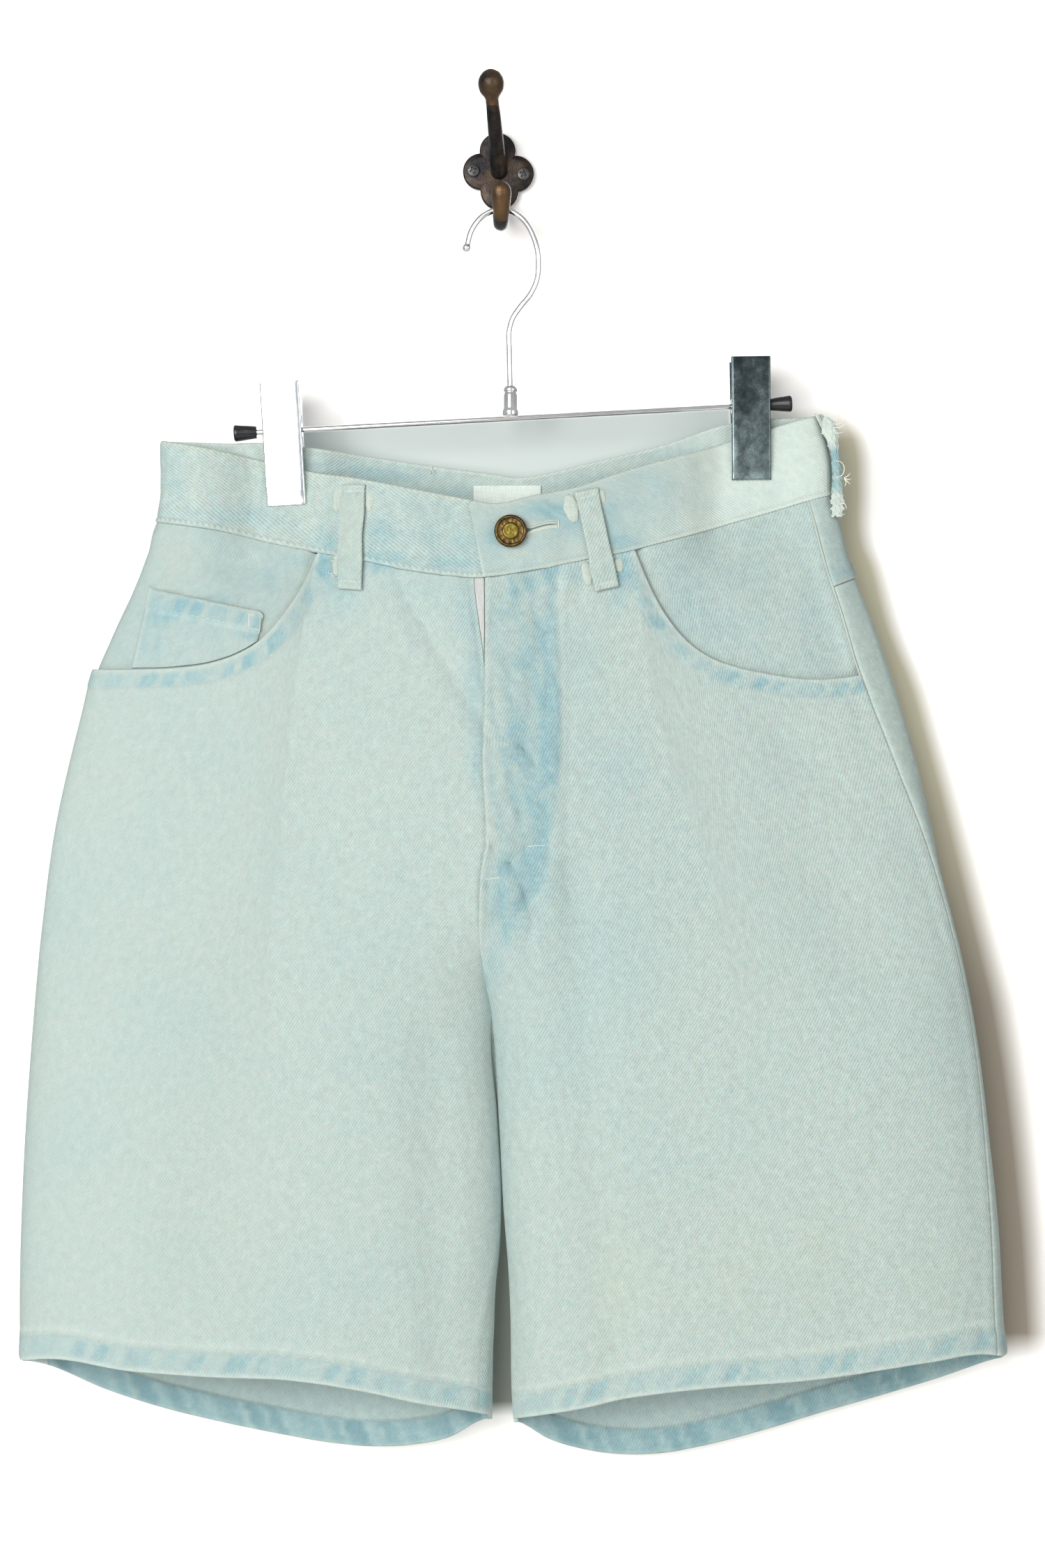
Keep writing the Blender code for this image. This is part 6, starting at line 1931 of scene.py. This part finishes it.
def add_wall_hook():
    bm = bmesh.new()
    outline = plate_outline()
    rings = ((1.0, 0.0), (1.0, 2.9), (0.985, 3.35), (0.96, 3.6), (0.90, 3.75), (0.84, 4.1), (0.78, 4.4),
             (0.70, 4.5), (0.5, 4.5), (0.25, 4.5))
    bmesh.ops.create_grid(bm, x_segments=len(outline), y_segments=len(rings) - 1, size=1)
    for v in bm.verts:
        share, depth = rings[round((v.co.y + 1) / 2 * (len(rings) - 1))]
        x, z = outline[round((v.co.x + 1) / 2 * len(outline)) % len(outline)] * share
        v.co = Vector((x, -depth, z)) * MM
    bmesh.ops.remove_doubles(bm, verts=bm.verts, dist=1e-7)
    bmesh.ops.holes_fill(bm, edges=[e for e in bm.edges if e.is_boundary], sides=0)
    bmesh.ops.recalc_face_normals(bm, faces=bm.faces)
    for rows in (UPPER_HOOK, LOWER_HOOK):
        rows = smooth_route(rows, 90)
        tube(bm, rows[:, :3], rows[:, 3], 28)
    middles = [(f.index, f.calc_center_median() / MM) for f in bm.faces]
    rubbed = {k for k, at in middles if (at.y < -33 and at.z > 27) or (at.y < -35 and at.z < -12)}
    made = show_form("wall_hook_casting", bm, "iron", "wall_hook", angle=50)
    return second_finish(made, "knob", rubbed)


def add_screws():
    for k, (x, z) in enumerate(SCREWS_AT):
        dome = [(r, 1.7 - 0.5 * (r / 2.9) ** 2) for r in np.arange(2.9, 0.01, -0.1)]
        bm = lathe([(0, 0), (3.5, 0), (3.5, 0.5), (3.35, 0.8), (3.15, 1.02), *dome, (0, 1.7)], 72)
        for v in bm.verts:
            across, along = sorted((abs(v.co.x) / MM, abs(v.co.y) / MM))
            if v.co.z > 1.1 * MM:
                v.co.z -= 0.95 * ramp(0.62, 0.28, across) * ramp(2.15, 1.5, along) * MM
        at = Vector((x, -PLATE_THICK - PLATE_RISE - GAP, z)) * MM
        turn = Matrix.Rotation(math.radians(25 + 40 * k), 4, "Z")
        placed(bm, turn, Matrix.Rotation(math.pi / 2, 4, "X"), Matrix.Translation(at))
        show_form(f"screw_head_{k + 1}", bm, "steel", f"screw_{k + 1}", angle=40)


# --- stage, light and camera ---


def staged(name, material, size, place):
    """A large square on the stage; its place is a matrix."""
    bm = bmesh.new()
    bmesh.ops.create_grid(bm, x_segments=8, y_segments=8, size=size, matrix=place)
    mesh = bpy.data.meshes.new(name)
    bm.to_mesh(mesh)
    bm.free()
    mesh.materials.append(material)
    made = put(name, mesh)
    return made


# The right edge of the shorts as it falls on the wall: z, x in metres
WALL_EDGE = (
    (-0.64, 0.274), (-0.604, 0.272), (-0.567, 0.2694), (-0.472, 0.2577), (-0.397, 0.2422),
    (-0.322, 0.2253), (-0.284, 0.2155), (-0.246, 0.2004), (-0.216, 0.1925), (-0.194, 0.185),
    (-0.171, 0.185), (-0.152, 0.184), (-0.133, 0.175),
)


def wall_paint_and_shadow(name):
    """White paint with painted shade: the shadow the shorts cast to their right, darker and warmer
    paint near them, grey between the hanger and the waist and dark between the legs. It is seen
    from in front only, so that the wall never hides the shorts' back."""
    f = Finish(name, Roughness=0.9, Specular_IOR_Level=0.1)
    where = f.objects()
    place = f.add("SeparateXYZ", {"Vector": where}).outputs
    across, up = f.times(place[0], 1.2), f.plus(place[2], 0.42)
    away = f.math("POWER", f.plus(f.math("POWER", across, 2.0), f.math("POWER", up, 2.0)), 0.5)
    # Darker, warmer paint near the shorts: painted shade that deepens and warms the shadow they cast.
    near = f.mix(f.noise(where, 2.5, 3.0), (0.92, 0.895, 0.865), (0.93, 0.905, 0.875))
    paint = f.mix(f.span(away, 0.36, 0.56), near, (0.97, 0.96, 0.95))
    # The painted shadow the shorts cast to their right: it follows their right edge, and is wider and darker
    # lower down.
    line = f.add("FloatCurve", {"Value": f.span(place[2], -0.66, -0.10)})
    curve = line.mapping.curves[0]
    at = [((z + 0.66) / 0.56, (x - 0.15) / 0.15) for z, x in WALL_EDGE]
    curve.points[0].location, curve.points[1].location = at[:2]
    for point in at[2:]:
        curve.points.new(*point)
    line.mapping.update()
    beside = f.less(place[0], f.span(line.outputs[0], 0.0, 1.0, 0.15, 0.30))
    low = f.span(place[2], -0.30, -0.45)
    full = f.span(low, 0.0, 1.0, 0.009, 0.0125)
    fades = f.span(low, 0.0, 1.0, 0.0175, 0.029)
    shade = f.span(beside, fades, full)
    shade = f.times(shade, f.span(place[2], -0.642, -0.628), f.span(place[2], -0.128, -0.145),
                    f.span(beside, -0.05, -0.04))
    paint = f.mix(shade, paint, f.mix(low, (0.49, 0.455, 0.34), (0.28, 0.245, 0.195)))
    # Painted shade on the wall between the hanger bar and the waist.
    bar = f.less(f.times(place[0], 0.0537), 0.1341)
    within = f.times(f.span(place[0], -0.112, -0.108), f.span(place[0], 0.128, 0.124),
                     f.span(f.less(bar, place[2]), 0, 0.002), f.span(place[2], -0.25, -0.24))
    paint = f.mix(within, paint, (0.485, 0.53, 0.515))
    # Painted shadow on the wall between the legs.
    off_middle = f.math("ABSOLUTE", f.less(place[0], 0.003))
    between = f.times(f.span(off_middle, 0.022, 0.014), f.span(place[2], -0.673, -0.665),
                      f.span(place[2], -0.45, -0.50))
    paint = f.mix(between, paint, (0.24, 0.25, 0.22))
    f.give(Base_Color=paint)
    behind = f.add("NewGeometry").outputs["Backfacing"]
    clear = f.add("BsdfTransparent")
    both = f.add("MixShader", {0: behind, 1: f.shader.outputs[0], 2: clear.outputs[0]})
    f.put(f.tree.nodes["Material Output"].inputs["Surface"], both.outputs[0])
    return f.material


def add_stage():
    staged("floor", floor_paint("floor_paint"), 1.2, Matrix.Translation((0, 0, -1.15)))
    upright = Matrix.Translation((0, 0.0006, -0.2)) @ Matrix.Rotation(math.pi / 2, 4, "X")
    wall = staged("wall", wall_paint_and_shadow("wall_paint_and_shadow"), 1.4, upright)
    wall.visible_diffuse = wall.visible_glossy = wall.visible_transmission = wall.visible_shadow = False


def area_light(name, at, towards, size, power, colour=(1, 1, 1)):
    lamp = bpy.data.lights.new(name, "AREA")
    lamp.shape = "RECTANGLE"
    lamp.size, lamp.size_y = size
    lamp.energy = power
    lamp.color = colour
    made = put(name, lamp)
    made.location = at
    made.rotation_euler = (Vector(towards) - Vector(at)).to_track_quat("-Z", "Y").to_euler()
    made.visible_camera = False
    return made


def add_lights():
    world = bpy.data.worlds.new("studio")
    bpy.context.scene.world = world
    world.use_nodes = True
    tree = world.node_tree
    tree.nodes.clear()
    out = tree.nodes.new("ShaderNodeOutputWorld")
    path = tree.nodes.new("ShaderNodeLightPath")
    shades = []
    for colour, strength in (
        ((0.92, 0.95, 0.98), 0.36),  # for cloth
        ((0.90, 0.95, 1.0), 0.5),  # in polished metal
        ((0.97, 0.975, 0.98), 1.0),  # behind everything
    ):
        shade = tree.nodes.new("ShaderNodeBackground")
        shade.inputs[0].default_value = (*colour, 1)
        shade.inputs[1].default_value = strength
        shades.append(shade.outputs[0])
    mixed = shades[0]
    for ray, shade in (("Is Glossy Ray", shades[1]), ("Is Camera Ray", shades[2])):
        step = tree.nodes.new("ShaderNodeMixShader")
        tree.links.new(path.outputs[ray], step.inputs[0])
        tree.links.new(mixed, step.inputs[1])
        tree.links.new(shade, step.inputs[2])
        mixed = step.outputs[0]
    tree.links.new(mixed, out.inputs[0])
    area_light("window", (-0.85, -2.4, -0.02), (0, 0, -0.35), (1.5, 2.24), 58)
    area_light("key", (-1.5, -1.9, 0.1), (0, 0, -0.35), (0.7, 0.9), 21, (1.0, 0.985, 0.96))
    area_light("fill", (1.5, -2.0, -0.2), (0, 0, -0.4), (1.4, 1.8), 15, (1.0, 0.97, 0.93))
    area_light("behind", (0.4, 1.9, 0.4), (0, 0, -0.35), (1.6, 1.6), 30)


CAMERA_AT = (13.2, -1578.0, -331.2)
PICTURE_AWAY, PICTURE_TALL = 1550, 832.5  # mm seen from top to bottom at that distance
SENSOR = 36


def add_camera():
    lens = bpy.data.cameras.new("camera")
    lens.sensor_width = SENSOR
    lens.lens = SENSOR * PICTURE_AWAY / PICTURE_TALL
    lens.clip_end = 20
    made = put("camera", lens)
    made.location = Vector(CAMERA_AT) * MM
    made.rotation_euler = (math.pi / 2, 0, 0)
    bpy.context.scene.camera = made


def dress_clips():
    """The clips' own solids keep their shape and get the clip finishes: bright chrome on the left, and on the
    right chrome whose dark tone is a painted reflection.
    """
    for word in CLIP_AT:
        for face in ("front", "back"):
            node = frame["nodes"][f"clip_{word}_{face}"]
            for slot in node.material_slots:
                slot.material = FINISHES[CLIP_FINISH[word]][1]


def main():
    add_camera()
    sewn = {}
    for side in (LEFT, RIGHT):
        word = SIDE_WORD[side]
        for add in (add_front, add_back, add_yoke, add_facing, add_back_pocket, add_band):
            add(side)
        sewn[f"front_{word}"] = [sew_front(side)]
        sewn[f"back_{word}"] = [sew_back(side)]
        sewn[f"pocket_back_{word}"] = [sew_back_pocket(side)]
        sewn[f"waistband_{word}"] = [sew_band(side)]
    add_coin_pocket()
    sewn["coin_pocket"] = [sew_coin_pocket()]
    add_fly_tape()
    add_label()
    for row in LOOPS:
        add_loop(row)
        sewn[row[0]] = [sew_loop(row), worn_pads(row)]
    add_side_loop()
    sewn["loop_side_right"] = add_torn_threads()
    sewn["front_right"].append(add_side_ridge())
    add_button()
    sewn["waistband_right"] += add_buttonhole()
    sewn["front_left"].append(loose_threads(
        "loose_threads_front", LEFT, FRONT, ((-84, -214), (-85, -222)), PANEL[1], None, 1, 4.0, 4))
    sewn["waistband_left"].append(loose_threads(
        "loose_threads_back", LEFT, BACK, ((-35.4, -163.2),), -1.3, BAND_INNER[LEFT], 3, 3.2, 6))
    add_hanger()
    add_wall_hook()
    add_screws()
    dress_clips()
    add_stage()
    add_lights()
    bpy.context.scene.view_settings.view_transform = "Standard"


main()
bpy.context.view_layer.update()
